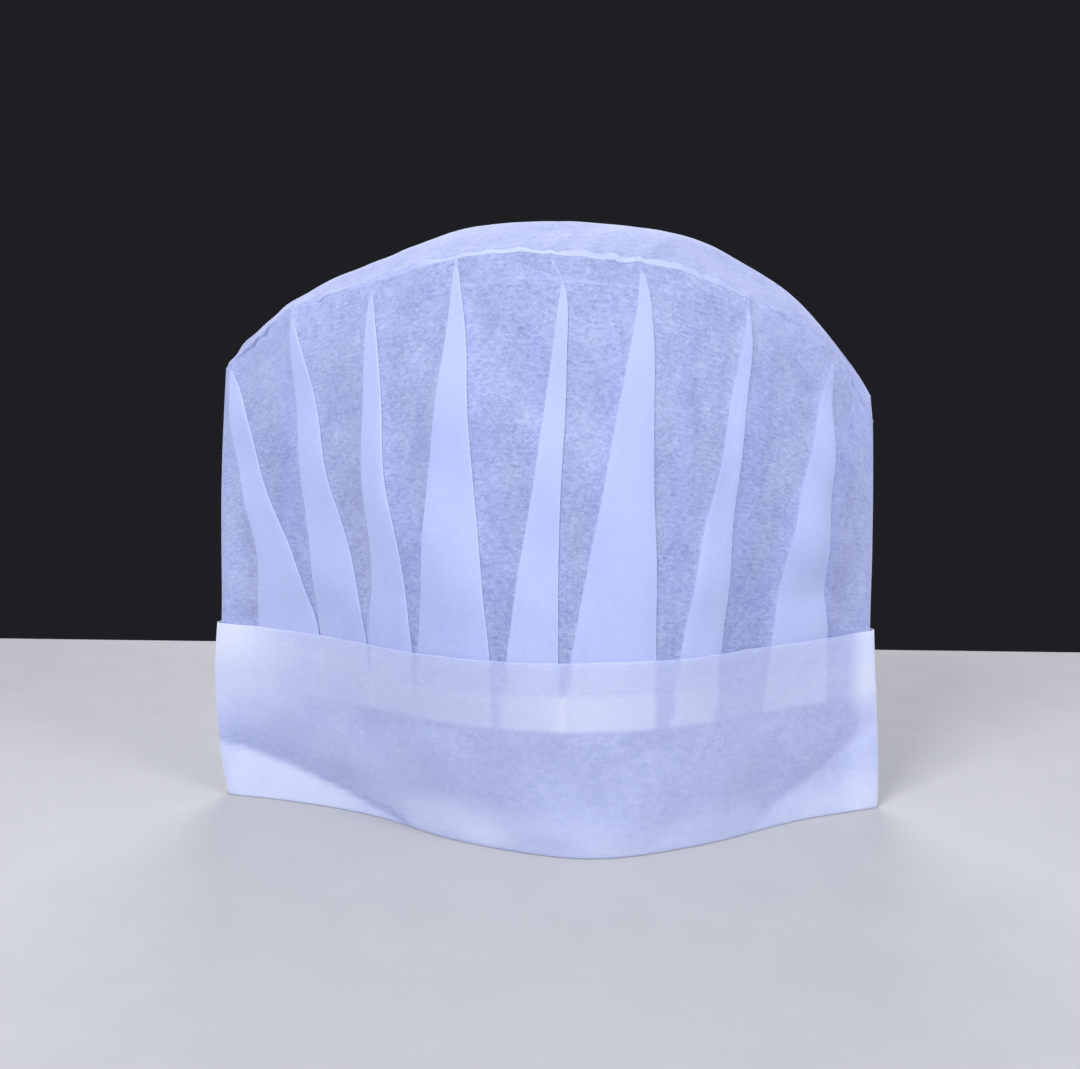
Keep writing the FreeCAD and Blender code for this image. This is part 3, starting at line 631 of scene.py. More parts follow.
def build_crown():
    halves = {s: crown_half(s) for s in (-1, 1)}
    all_pts, index = [], {}
    table = {}
    for side in (-1, 1):
        pts, ident, sig, kind, height, n_slots, off = halves[side]
        index[side] = np.full((ROWS, n_slots + 1), -1, int)
        for r in range(ROWS):
            for c in range(n_slots):
                key = (side, r, int(ident[r, c]))
                if side > 0 and r == ROWS - 1 and ident[r, c] != 0:
                    # the ridge is one line shared by both halves
                    uniq = sorted(set(ident[r]))
                    i = uniq.index(ident[r, c])
                    other = halves[-1][1][r]
                    uniq2 = sorted(set(other))
                    key = (-1, r, int(uniq2[len(uniq) - i]))
                if key not in table:
                    table[key] = len(all_pts)
                    all_pts.append(pts[r, c])
                index[side][r, c] = table[key]
    for side in (-1, 1):  # each half ends on the other half's first column
        for r in range(ROWS):
            index[side][r, -1] = table[(-side, r, 0)]
    pts = np.array(all_pts)
    faces, uvs, plies, edge_len = [], [], [], []
    for side in (-1, 1):
        p, ident, sig, kind, height, n_slots, off = halves[side]
        total = [np.linalg.norm(np.diff(GRID[side][r], axis=0), axis=1).sum() for r in range(ROWS)]
        for r in range(ROWS - 1):
            for c in range(n_slots):
                q = [(r, c), (r, c + 1), (r + 1, c + 1), (r + 1, c)]
                ids = [index[side][a, b] for a, b in q]
                k = kind[c] if c < n_slots else 18
                k2 = kind[c + 1] if c + 1 < n_slots else 18
                if k >= 300 and k2 < 100:
                    k = k2
                layer, reg = divmod(int(k), 100) if k >= 100 else (0, int(k) - 10)
                shift = 400.0 * reg + 137.0 * layer + (4000.0 if side > 0 else 0.0)
                uv = [((sig[a, b] if b < n_slots else total[a]) + shift, height[a]) for a, b in q]
                keep, kuv = [], []
                for i, u in zip(ids, uv):
                    if i not in keep:
                        keep.append(i)
                        kuv.append(u)
                if len(keep) < 3:
                    continue
                w = 0.0
                if layer:
                    w = min(1.0, max(off[r, c], off[r + 1, c], STEP if layer == 3 else 0.0) / STEP)
                    # painted highlight: faces along each pleat's outer fold edge are set above one ply, which mixes
                    # them towards the bright tint
                    if layer == 1 and w > 0.5 and (k2 != k or (k == kind[c - 1]) is False or off[r, c + 1] < off[r, c] - 0.02):
                        w = 1.4
                x_, z_ = float(p[r, c][0]), float(p[r, c][2])
                # painted light: the cap is made a little denser and brighter overall, and the rows at the rim fold
                # carry a painted highlight line, strongest at the middle
                if r > RIM_ROW:
                    w = max(w, 0.15)
                elif r >= RIM_ROW - 1:
                    mid = 0.5 * total[r]
                    w = max(w, 0.42 + 0.78 * math.exp(-((sig[r, c] - mid) / 62.0) ** 2))
                else:
                    # painted highlight: towards the ends of the rim and along the creases the cloth is made brighter
                    # and a little denser
                    end = math.exp(-max(along(RIM, x_ / CR) * RIDGE_Z - z_, 0.0) / 11.0) * float(smooth(66.0, 104.0, abs(x_)))
                    crease = float(smooth(122.0, 134.0, abs(x_)))
                    w = max(w, 0.42 * end, 0.24 * crease, 0.36 * crease * (1 - float(smooth(80.0, 98.0, z_))))
                    if side < 0 and layer:
                        aside = float(smooth(-96.0, -74.0, x_)) * (1 - float(smooth(-40.0, -4.0, x_)))
                        w *= 1 - 0.13 * aside * (1 - float(smooth(82.0, 108.0, z_)))
                faces.append(keep)
                uvs.append(kuv)
                plies.append(w)
    half = np.full(len(pts), PLY / 2)
    for side in (-1, 1):
        p, ident, sig, kind, height, n_slots, off = halves[side]
        per = N_A + N_NOSE + N_B + N_NOSE + N_C
        k = 1
        for pl in range(8):
            k += REGION_COLS[pl] + len(RAMP_SHARES)
            for r in range(RIM_ROW + 1):
                w = sig[r, k + N_A - 1] - sig[r, k]
                t = float(np.clip(w / 4.0, 0.25, 1))
                if w > 0.02:
                    for c in range(k, k + per):
                        half[index[side][r, c]] = PLY / 2 * t
            k += per
    # the fold over the top stands a little higher in places
    pts = np.array(pts, float)
    rise = np.interp(pts[:, 0], [-106, -90, -73, -57, -42, -26, -10, 6, 20, 36, 52, 67, 83, 98, 115, 125],
                     [0, 0.8, 0.9, 0.5, 0.4, 1.2, 1.1, 0.2, 0.4, 0.7, 1.2, 1.95, 1.75, 1.0, 0.4, 0])
    pts[:, 2] += rise * np.exp(-(pts[:, 1] / 22.0) ** 2) * smooth(160.0, 190.0, pts[:, 2])
    return thicken(pts, faces, uvs, half, plies)


# ------------------------------------------------------------------------------------------------------------------
# Headband: one strip folded along its bottom edge
# ------------------------------------------------------------------------------------------------------------------
band_wave = {-1: waves(71, 9, 26.0, 80.0), 1: waves(72, 9, 26.0, 80.0)}


def facet(side, x, z):
    """How far the band is pushed in, in mm, by the creases that run down to its bottom edge."""
    d = np.zeros(np.broadcast(x, z).shape)
    if side < 0:
        lines = [((-138.5, 23.8), (-48.0, -1.0), 4.2, 12.0, 9.0), ((139.5, 37.6), (80.0, -1.0), 2.6, 16.0, 14.0)]
    else:
        lines = [((-134.0, 30.0), (-86.0, -1.0), 1.3, 14.0, 14.0), ((135.0, 26.0), (72.0, -1.0), 1.6, 14.0, 14.0)]
    for (xa, za), (xb, zb), deep, soft, start in lines:
        zl = za + (zb - za) * (x - xa) / (xb - xa)
        inside = smooth(0.0, start, np.abs(x - xa)) * (np.sign(x - xa) == np.sign(xb - xa))
        above = np.exp(-np.clip(z - zl, 0, None) / soft)
        below = np.clip(z / np.maximum(zl, 0.5), 0, 1)
        amount = deep * np.clip(zl / (za * 0.62), 0, 1) ** 0.8
        d = d + inside * amount * np.where(z >= zl, above, below)
    return d


def band_shift(side, x, z):
    calm = 1 - smooth(40.0, 48.0, z)
    ends = smooth(0.0, 22.0, 139.0 - np.abs(x))
    return -facet(side, x, z) * calm + 0.45 * band_wave[side](x, z) * calm * ends * smooth(0.0, 10.0, z)


def ring_points(by, z, cols):
    """A closed ring of points at one height, by mm inside the band's outer face, starting at the left crease and
    running along the front to the right crease and back behind. cols is how many points each half has."""
    out, arcs = [], []
    start = 0.0
    for side in (-1, 1):
        row = BU @ bez(band_levels(side, by), min(max(z / H, 0.0), 1.0))
        row[:, 2] = z
        if side > 0:
            row = row[::-1]
        s = np.concatenate([[0.0], np.cumsum(np.linalg.norm(np.diff(row, axis=0), axis=1))])
        even = s[-1] * np.arange(cols) / cols
        # closer together at the creases, where the cloth turns on a small radius
        t = np.arange(cols) / float(cols)
        dens = t - 0.10 * np.sin(2 * np.pi * t)
        at = s[-1] * dens
        p = np.stack([np.interp(at, s, row[:, c]) for c in range(3)], 1)
        du = np.gradient(row, axis=0)
        nn = np.stack([du[:, 1], -du[:, 0], np.zeros(len(du))], 1)
        nn /= np.maximum(np.linalg.norm(nn, axis=1), 1e-9)[:, None]
        q = np.stack([np.interp(at, s, nn[:, c]) for c in range(3)], 1)
        q /= np.linalg.norm(q, axis=1)[:, None]
        p = p + q * band_shift(side, p[:, 0], np.full(cols, z))[:, None]
        out.append(p)
        arcs.append(at + start)
        start += s[-1]
    return np.vstack(out), np.concatenate(arcs), start


def band_profile():
    """(inset, z, place along the strip) from the top of the outer ply down, round the fold, up to the inner ply's top."""
    prof = [(0.25, z) for z in np.linspace(75.0, 3.0, 33)]
    prof += [(0.25, 1.7), (0.30, 0.85), (0.42, 0.42), (0.60, 0.25), (0.78, 0.42), (0.92, 0.85), (0.97, 1.7)]
    for z in np.linspace(3.0, 63.0, 28):
        prof.append((0.97 + (2.47 - 0.97) * float(smooth(34.0, 46.0, z)), z))
    return prof


def build_band():
    prof = band_profile()
    cols = 236
    pts, us, vs = [], [], []
    v = 0.0
    for k, (by, z) in enumerate(prof):
        if k:
            v += math.hypot(by - prof[k - 1][0], z - prof[k - 1][1])
        p, arc, total = ring_points(by, z, cols)
        if k == 0:  # cut edge, a touch uneven
            p[:, 2] += 0.12 * np.sin(arc / 9.0) + 0.08 * np.sin(arc / 3.1 + 1.0)
        pts.append(p)
        us.append(np.append(arc, total))
        vs.append(np.full(2 * cols + 1, -v))
    n = 2 * cols
    index = np.array([[r * n + (c % n) for c in range(n + 1)] for r in range(len(prof))])
    faces, uvs = grid_faces(index[::-1], np.array(us)[::-1] + 9000.0, np.array(vs)[::-1])
    mid = np.vstack(pts)
    layers_and_painted_light = np.zeros(len(mid))
    for k, (by, z) in enumerate(prof):
        p = mid[k * n:(k + 1) * n]
        front = p[:, 1] < 0
        x, zz = p[:, 0], np.full(n, z)
        stacked = np.zeros(n)  # 1 where the crown's cloth lies three deep behind this place, 0 where it is single
        tuck_z = TUCK_Z + [H]
        for side in (-1, 1):
            key = x if side < 0 else -x
            half = np.arange(n) < cols if side < 0 else np.arange(n) >= cols
            for pl in range(8):
                ka = np.interp(z, tuck_z, PLEAT_KEYS[side][pl, 0, :len(tuck_z)])
                kb = np.interp(z, tuck_z, PLEAT_KEYS[side][pl, 1, :len(tuck_z)])
                stacked += half * smooth(ka - 0.5, ka + 0.5, key) * (1 - smooth(kb - 0.5, kb + 0.5, key))
        mid_ = np.exp(-((x - 20.0) / 34.0) ** 2)
        upper = smooth(62.6, 63.4, z)
        lower = smooth(48.6, 49.4, z) * (1 - upper)
        rest_ = 1 - smooth(48.6, 49.4, z)
        t = upper * (0.56 + 0.40 * stacked + 0.20 * stacked * mid_)
        full = np.maximum(stacked, smooth(-16.0, -8.0, x) * (1 - smooth(39.0, 42.0, x)) * front)
        t = t + lower * (0.72 + 0.34 * full + 0.44 * full * mid_ + 0.30 * (full - stacked))
        fade = (1 - smooth(-86.0, -56.0, x)) * front  # towards the left corner the layers behind no longer show
        t = t * (1 - 0.85 * fade) + 0.85 * fade * (0.92 * (upper + lower) + rest_ * 0.42 * smooth(27.0, 49.0, z))
        t = t + rest_ * (0.46 + 0.58 * (1 - smooth(7.0, 24.0, z)))
        # painted light and shade at the left crease: a painted highlight on the facet below it, painted shade above it
        # and a painted shadow line along it
        zl = 23.8 + (-24.8) * (x + 138.5) / 90.5
        left = (1 - smooth(-60.0, -48.0, x)) * front
        below = (1 - smooth(-1.7, 1.5, zz - zl)) * left * (z < 25)
        painted_shade_above_crease = smooth(0.0, 2.0, zz - zl) * (1 - smooth(5.0, 20.0, zz - zl)) * (1 - smooth(-80.0, -44.0, x)) * front
        line = np.exp(-((zz - zl - 1.3) / 1.7) ** 2) * smooth(-104.0, -76.0, x) * (1 - smooth(-58.0, -44.0, x)) * front
        # painted light and shade at the right crease: a painted highlight on the facet below it and painted shade
        # above it
        zr = 37.6 + (-38.6) * (x - 139.5) / (80.0 - 139.5)
        right = smooth(78.0, 92.0, x) * front
        painted_highlight_right_facet = (1 - smooth(-1.5, 3.0, zz - zr)) * right * (z < 38)
        painted_shade_right_crease = smooth(0.0, 5.0, zz - zr) * (1 - smooth(8.0, 26.0, zz - zr)) * smooth(70.0, 100.0, x) * front
        # painted highlights at the band's left and right corners, strongest near the top
        painted_highlight_left_corner = (1 - smooth(-136.0, -92.0, x)) * front
        t = t + painted_highlight_left_corner * (0.45 + 0.55 * smooth(50.0, 70.0, z)) * smooth(24.0, 34.0, z)
        t = t + smooth(121.0, 131.0, x) * front * (0.35 + 0.75 * smooth(36.0, 54.0, z))
        # painted shade and shadow line at the creases, painted highlight on the facet below the right crease
        t = t - 0.30 * painted_shade_above_crease * (1 - below) - 1.0 * line - 0.35 * painted_shade_right_crease + 0.12 * painted_highlight_right_facet
        # patches of painted light and shade, place by place, brightening or darkening the band
        for x_at, z_at, wide_x, wide_z, by_ in ((-75.0, 25.0, 48.0, 8.0, 0.26), (-36.0, 12.0, 24.0, 6.0, 0.40),
                                                (42.0, 12.0, 13.0, 6.0, -0.20), (90.0, 9.0, 8.0, 8.0, -0.28),
                                                (-20.0, 4.0, 12.0, 4.0, 0.25), (26.0, 4.0, 10.0, 4.0, 0.20),
                                                (72.0, 41.0, 46.0, 6.0, -0.24), (134.0, 41.0, 9.0, 9.0, 0.40),
                                                (-84.0, 66.0, 26.0, 8.0, 0.16), (-105.0, 26.0, 30.0, 6.0, 0.12)):
            t = t + by_ * front * np.exp(-((x - x_at) / wide_x) ** 2 - ((z - z_at) / wide_z) ** 2)
        # the facet below the left crease takes its painted highlight tone
        t = t * (1 - below) + below * (1.38 - 0.30 * smooth(-95.0, -60.0, x))
        layers_and_painted_light[k * n:(k + 1) * n] = t
    out = thicken(mid, faces, uvs, 0.16, [0.0] * len(faces))
    return out[0], out[1], out[2], np.concatenate([layers_and_painted_light, layers_and_painted_light])


def build_glue(by, z0, z1, seed):
    """A rolled line of adhesive: a thin ribbon with slightly uneven edges."""
    cols = 150
    zs = np.linspace(z0, z1, 5)
    w = waves(seed, 8, 5.0, 30.0)
    pts, us, vs = [], [], []
    for k, z in enumerate(zs):
        p, arc, total = ring_points(by, z, cols)
        p[:, 2] += (0.45 * w(arc, 0.0) if k == 0 else 0.45 * w(arc, 90.0) if k == len(zs) - 1 else 0.0)
        pts.append(p)
        us.append(np.append(arc, total))
        vs.append(np.full(2 * cols + 1, z))
    n = 2 * cols
    index = np.array([[r * n + (c % n) for c in range(n + 1)] for r in range(len(zs))])
    faces, uvs = grid_faces(index, np.array(us), np.array(vs))
    return thicken(np.vstack(pts), faces, uvs, 0.07, [0.0] * len(faces))


# ------------------------------------------------------------------------------------------------------------------
# Closure at the back
# ------------------------------------------------------------------------------------------------------------------
TAIL_C, TAIL_R, TAIL_A0, TAIL_SWEEP = (2.90, -53.44), 113.9, 108.93, 31.2
LOOP_C, LOOP_R, LOOP_A0, LOOP_SWEEP = (0.0, -72.4), 131.15, 91.8, 16.6
HOOK_R, HOOK_A0, HOOK_SWEEP = 113.1, 88.8, 9.1


def rounded(u, v, length, low, high, corner, both_ends):
    """Pulls a grid place in to a rectangle with rounded corners; u in 0..length, v in 0..1."""
    inset_ = 0.0
    d = length - u
    if d < corner:
        inset_ = corner - math.sqrt(max(corner ** 2 - (corner - d) ** 2, 0.0))
    if both_ends and u < corner:
        inset_ = max(inset_, corner - math.sqrt(max(corner ** 2 - (corner - u) ** 2, 0.0)))
    return low + inset_ + (high - low - 2 * inset_) * v


def build_tail():
    """Free end of the strip, two plies with the fold at the bottom, its root lying on the band."""
    r_mid = TAIL_R + 0.45
    length = math.radians(TAIL_SWEEP) * r_mid
    root = 9.0  # laid on the band before the place where it peels
    us = np.concatenate([np.linspace(-root, 0, 8)[:-1], np.linspace(0, length - 5.0, 40)[:-1],
                         length - 5.0 + 5.0 * np.sin(np.linspace(0, math.pi / 2, 9))])
    us[-1] = length - 0.02
    ripple = waves(81, 7, 16.0, 50.0)
    hem = waves(82, 7, 6.0, 18.0)

    def place(u, z, off):
        a = math.radians(TAIL_A0) - u / r_mid
        if u >= 0:
            c, r = TAIL_C, r_mid
        else:
            a0 = math.radians(TAIL_A0)
            base = (TAIL_C[0] + r_mid * math.cos(a0), TAIL_C[1] + r_mid * math.sin(a0))
            c = LOOP_C
            r0 = math.hypot(base[0] - c[0], base[1] - c[1])
            b0 = math.atan2(base[1] - c[1], base[0] - c[0])
            r = r0 - 0.12 * float(smooth(0, root, -u))
            a = b0 - u / r
        wav = 0.35 * ripple(u, z) * float(smooth(6.0, 26.0, u)) * float(smooth(-4.0, 12.0, length - u + 4.0))
        held = float(smooth(30.0, 37.0, u))  # flat on the hook patch, so there it can only lift away from it
        wav = wav * (1 - held) + held * 0.5 * (wav + math.hypot(wav, 0.02))
        rr = r + off + wav
        return (c[0] + rr * math.cos(a), c[1] + rr * math.sin(a), z)

    rows_out = np.linspace(1, 0, 26)
    pts, uu, vv = [], [], []
    half_gap = 0.24
    n_fold = 5
    prof = [(half_gap, t) for t in rows_out] + [None] * n_fold + [(-half_gap, t) for t in rows_out[::-1]]
    v_acc = 0.0
    for k, item in enumerate(prof):
        line, ul, vl = [], [], []
        for u in us:
            if item is None:
                i = k - len(rows_out) + 1
                t = math.pi * i / (n_fold + 1)
                z = rounded(max(u, 0.0), 0.0, length, 1.0, 74.0, 5.0, False) - half_gap * math.sin(t)
                off = half_gap * math.cos(t)
                zz = z
            else:
                off, t = item
                top = 74.0 if off > 0 else 73.2
                z = rounded(max(u, 0.0), t, length, 1.0, top, 5.0, False)
                if t > 0.999:
                    z += 0.15 * hem(u, off * 10)
                zz = z
            line.append(place(u, zz, off))
            ul.append(u)
            vl.append(z if off > 0 else 200.0 - z)
        pts.append(line)
        uu.append(ul)
        vv.append(vl)
    pts = np.array(pts)
    rows, cols = pts.shape[:2]
    index = np.arange(rows * cols).reshape(rows, cols)
    faces, uvs = grid_faces(index, np.array(uu) + 12000.0, np.array(vv))
    return thicken(pts.reshape(-1, 3), faces, uvs, 0.15, [0.55] * len(faces))


def plate(centre, r_in, r_out, a0, sweep, low, high, corner, bump=None, cols=30, rows=40, side=1):
    """A curved pad with rounded corners between two radii; bump(u, z) lifts its outer (side 1) or inner face."""
    length = math.radians(sweep) * (r_in + r_out) / 2
    edge = corner * (1 - np.cos(np.linspace(0, math.pi / 2, 5)))
    us = np.concatenate([edge[:-1], np.linspace(corner, length - corner, cols), length - edge[:-1][::-1]])
    ts = np.linspace(0, 1, rows)
    top, bottom, uu, vv = [], [], [], []
    for t in ts:
        lt, lb, lu, lv = [], [], [], []
        for u in us:
            z = rounded(u, t, length, low, high, corner, True)
            a = math.radians(a0) - u / ((r_in + r_out) / 2)
            near = min(u, length - u, z - low, high - z)
            h = (bump(u, z) if bump else 0.0) * float(smooth(0.0, 1.2, near))
            ro = r_out + (h if side > 0 else 0.0)
            ri = r_in - (h if side < 0 else 0.0)
            lt.append((centre[0] + ro * math.cos(a), centre[1] + ro * math.sin(a), z))
            lb.append((centre[0] + ri * math.cos(a), centre[1] + ri * math.sin(a), z))
            lu.append(u)
            lv.append(z)
        top.append(lt)
        bottom.append(lb)
        uu.append(lu)
        vv.append(lv)
    top, bottom = np.array(top), np.array(bottom)
    rows_, cols_ = top.shape[:2]
    n = rows_ * cols_
    index = np.arange(n).reshape(rows_, cols_)
    faces, uvs = grid_faces(index, np.array(uu), np.array(vv))
    out_f = [list(f) for f in faces]
    out_u = [list(u) for u in uvs]
    for f, u in zip(faces, uvs):
        out_f.append([i + n for i in reversed(f)])
        out_u.append(list(reversed(u)))
    seen = {}
    for k, f in enumerate(faces):
        for a in range(4):
            seen[(f[a], f[(a + 1) % 4])] = (k, a)
    for (a, b), (k, i) in seen.items():
        if (b, a) not in seen:
            ua, ub = uvs[k][i], uvs[k][(i + 1) % 4]
            out_f.append([b, a, a + n, b + n])
            out_u.append([ub, ua, ua, ub])
    pts = np.vstack([top.reshape(-1, 3), bottom.reshape(-1, 3)])
    return pts, out_f, out_u


def outward(pts, faces, uvs):
    """Winds the quads of every closed part so that they look out."""
    p, f = np.array(pts, float), np.array([list(q) for q in faces])
    label = np.arange(len(p))
    while True:
        new = label.copy()
        low = label[f].min(axis=1)
        for k in range(4):
            np.minimum.at(new, f[:, k], low)
        new = new[new]
        if (new == label).all():
            break
        label = new
    a, b, c, d = (p[f[:, k]] for k in range(4))
    volume = (a * (np.cross(b, c) + np.cross(c, d))).sum(axis=1)
    part = label[f[:, 0]]
    turn = np.bincount(part, weights=volume, minlength=len(p))[part] < 0
    faces = [list(q)[::-1] if t else list(q) for q, t in zip(faces, turn)]
    uvs = [list(q)[::-1] if t else list(q) for q, t in zip(uvs, turn)]
    return pts, faces, uvs


def add_hooks(pts, faces, uvs):
    """Rows of small bent hooks on the face of the patch that meets the loops."""
    pts, faces, uvs = list(map(tuple, pts)), list(faces), list(uvs)
    pitch_u, pitch_z = 1.35, 1.45
    length = math.radians(HOOK_SWEEP) * HOOK_R
    nu, nz = int((length - 2.4) / pitch_u), int((42.0 - 2.4) / pitch_z)
    for i in range(nu + 1):
        for j in range(nz + 1):
            u = 1.2 + i * (length - 2.4) / nu + RNG.uniform(-0.05, 0.05)
            z = 16.0 + 1.2 + j * (42.0 - 2.4) / nz
            lean = 0.34 if (i + j) % 2 else -0.34
            path = [(0.10, 0.0), (-0.24, 0.02 * lean), (-0.42, 0.45 * lean), (-0.38, 1.0 * lean)]
            width = [0.17, 0.12, 0.11, 0.07]
            base = len(pts)
            for (h, dz), w in zip(path, width):
                r = HOOK_R + h
                for k in range(4):
                    t = math.pi / 4 + k * math.pi / 2
                    a = math.radians(HOOK_A0) - (u + w * math.cos(t)) / HOOK_R
                    pts.append((TAIL_C[0] + r * math.cos(a), TAIL_C[1] + r * math.sin(a), z + dz + w * math.sin(t)))
            for s in range(3):
                for k in range(4):
                    a, b = base + s * 4 + k, base + s * 4 + (k + 1) % 4
                    faces.append([a, b, b + 4, a + 4])
                    uvs.append([(u, z)] * 4)
            faces.append([base + 3, base + 2, base + 1, base])
            uvs.append([(u, z)] * 4)
            faces.append([base + 12, base + 13, base + 14, base + 15])
            uvs.append([(u, z)] * 4)
    return pts, faces, uvs


# ------------------------------------------------------------------------------------------------------------------
# Materials: all node patterns, in millimetres along the cloth
# ------------------------------------------------------------------------------------------------------------------
class Net:
    def __init__(self, name):
        self.m = bpy.data.materials.new(name)
        self.m.use_nodes = True
        self.nt = self.m.node_tree
        self.nt.nodes.clear()
        self.out = self.nt.nodes.new("ShaderNodeOutputMaterial")

    def put(self, socket, value):
        if isinstance(value, bpy.types.NodeSocket):
            self.nt.links.new(value, socket)
        else:
            socket.default_value = value

    def node(self, kind, inputs=None, **props):
        n = self.nt.nodes.new(kind)
        for k, v in props.items():
            setattr(n, k, v)
        for k, v in (inputs or {}).items():
            self.put(n.inputs[k], v)
        return n

    def math(self, op, a, b=None, c=None, clamp=False):
        n = self.node("ShaderNodeMath", operation=op, use_clamp=clamp)
        self.put(n.inputs[0], a)
        if b is not None:
            self.put(n.inputs[1], b)
        if c is not None:
            self.put(n.inputs[2], c)
        return n.outputs[0]

    def vec(self, op, a, b=None, scale=None):
        n = self.node("ShaderNodeVectorMath", operation=op)
        self.put(n.inputs[0], a)
        if b is not None:
            self.put(n.inputs[1], b)
        if scale is not None:
            self.put(n.inputs["Scale"], scale)
        return n.outputs[0]

    def remap(self, x, a, b, c=0.0, d=1.0, soft=False):
        n = self.node("ShaderNodeMapRange", {"Value": x, "From Min": a, "From Max": b, "To Min": c, "To Max": d},
                      interpolation_type="SMOOTHSTEP" if soft else "LINEAR")
        return n.outputs[0]

    def noise(self, vector, scale, detail=2.0, rough=0.5, distort=0.0):
        n = self.node("ShaderNodeTexNoise", {"Vector": vector, "Scale": scale, "Detail": detail,
                                            "Roughness": rough, "Distortion": distort}, noise_dimensions="2D")
        return n

    def mixc(self, f, a, b, mode="MIX"):
        n = self.node("ShaderNodeMix", data_type="RGBA", blend_type=mode)
        self.put(n.inputs[0], f)
        self.put(n.inputs[6], a)
        self.put(n.inputs[7], b)
        return n.outputs[2]

    def mixf(self, f, a, b):
        n = self.node("ShaderNodeMix", data_type="FLOAT")
        self.put(n.inputs[0], f)
        self.put(n.inputs[2], a)
        self.put(n.inputs[3], b)
        return n.outputs[0]


def fibre_net(net, place, long_mm=11.0, fine_mm=0.85, angles=(8, 52, 97, 141), keen=11.0):
    """Long thin fibres lying at several angles: the lines where a stretched noise passes its middle value."""
    warp = net.noise(place, 1 / 7.0, 1.0)
    bent = net.vec("ADD", place, net.vec("SCALE", net.vec("SUBTRACT", warp.outputs["Color"], (0.5, 0.5, 0.5)), scale=2.6))
    total = None
    for k, a in enumerate(angles):
        rot = net.node("ShaderNodeVectorRotate", {"Vector": bent, "Angle": math.radians(a)}, rotation_type="Z_AXIS")
        st = net.vec("MULTIPLY", rot.outputs[0], (1 / long_mm, 1 / fine_mm, 1.0))
        st = net.vec("ADD", st, (17.3 * k, 5.1 * k, 0.0))
        n = net.noise(st, 1.0, 1.0, 0.5).outputs["Fac"]
        ridge = net.math("SUBTRACT", 1.0, net.math("MULTIPLY", net.math("ABSOLUTE", net.math("SUBTRACT", n, 0.5)), keen),
                         clamp=True)
        total = ridge if total is None else net.math("ADD", total, ridge)
    return net.math("MULTIPLY", total, 1.0 / 1.6, clamp=True)


def cloth(name, thin, thick, bright, open_lo, open_hi, grain=(2.6, 0.95), soft=0.0, grainy=0.10, glow=0.34, bump=0.35,
          most=0.97, packed=0.66):
    """Non-woven cloth: a felt of fine fibres with thin places that show what is behind."""
    net = Net(name)
    uv = net.node("ShaderNodeUVMap", uv_map="mm").outputs[0]
    fibres = fibre_net(net, uv)
    stretched = net.vec("MULTIPLY", uv, (1 / grain[0], 1 / grain[1], 1.0))
    cloud = net.noise(stretched, 1.0, 4.0, 0.62, 0.6).outputs["Fac"]
    wide = net.noise(uv, 1 / 17.0, 3.0, 0.6).outputs["Fac"]
    v = net.node("ShaderNodeSeparateXYZ", {0: uv}).outputs[1]
    ribs = net.math("SINE", net.math("ADD", net.math("MULTIPLY", v, 2 * math.pi / 1.7), net.math("MULTIPLY", wide, 9.0)))
    patch = net.remap(net.noise(uv, 1 / 23.0, 1.0).outputs["Fac"], 0.52, 0.66)
    dens = net.math("ADD", net.math("MULTIPLY", cloud, 0.66), net.math("MULTIPLY", fibres, 0.20))
    dens = net.math("ADD", dens, net.math("MULTIPLY", wide, 0.36))
    dens = net.math("ADD", dens, net.math("MULTIPLY", net.math("MULTIPLY", ribs, patch), 0.035))
    dens = net.remap(dens, 0.34, 0.92, 0.0, 1.0)
    ply = net.node("ShaderNodeAttribute", attribute_name="plies").outputs["Fac"]
    low = net.math("MINIMUM", ply, 1.0)
    # above one ply the attribute carries the densest stacks and the painted highlights, which mix the colour towards
    # the bright tint
    high = net.math("SUBTRACT", ply, 1.0, clamp=True)
    body = net.math("MAXIMUM", net.math("MULTIPLY", dens, 1.0 - soft),
                    net.math("ADD", net.math("MULTIPLY", low, packed), net.math("MULTIPLY", net.math("SUBTRACT", dens, 0.4), grainy)))
    tint = net.mixc(high, net.mixc(body, thin, thick), bright)
    facing = net.node("ShaderNodeLayerWeight", {"Blend": 0.5}).outputs["Facing"]
    grazing = net.math("POWER", facing, 2.6)
    alpha = net.mixf(net.math("MULTIPLY", low, 0.92), net.remap(dens, 0.0, 1.0, open_lo, open_hi), most)
    alpha = net.mixf(grazing, alpha, 0.97)
    # painted sheen: seen edge-on the colour is pushed towards the bright tint
    tint = net.mixc(net.math("MULTIPLY", grazing, 0.55), tint, bright)
    rough = net.remap(dens, 0.0, 1.0, 0.92, 0.68)
    h = net.math("ADD", net.math("MULTIPLY", cloud, 0.7), net.math("MULTIPLY", fibres, 0.5))
    bumpn = net.node("ShaderNodeBump", {"Height": h, "Strength": bump, "Distance": 0.00022})
    front = net.node("ShaderNodeBsdfPrincipled", {"Base Color": tint, "Roughness": rough, "Normal": bumpn.outputs[0],
                                                 "Specular IOR Level": 0.22, "Sheen Weight": 0.18,
                                                 "Sheen Roughness": 0.45, "Sheen Tint": (0.86, 0.90, 1.0, 1.0)})
    through = net.node("ShaderNodeBsdfTranslucent", {"Color": tint, "Normal": bumpn.outputs[0]})
    solid = net.node("ShaderNodeMixShader", {0: glow, 1: front.outputs[0], 2: through.outputs[0]})
    clear = net.node("ShaderNodeBsdfTransparent", {"Color": (1, 1, 1, 1)})
    back = net.node("ShaderNodeNewGeometry").outputs["Backfacing"]
    shown = net.math("MULTIPLY", alpha, net.math("SUBTRACT", 1.0, back))
    last = net.node("ShaderNodeMixShader", {0: shown, 1: clear.outputs[0], 2: solid.outputs[0]})
    net.nt.links.new(last.outputs[0], net.out.inputs["Surface"])
    return net.m


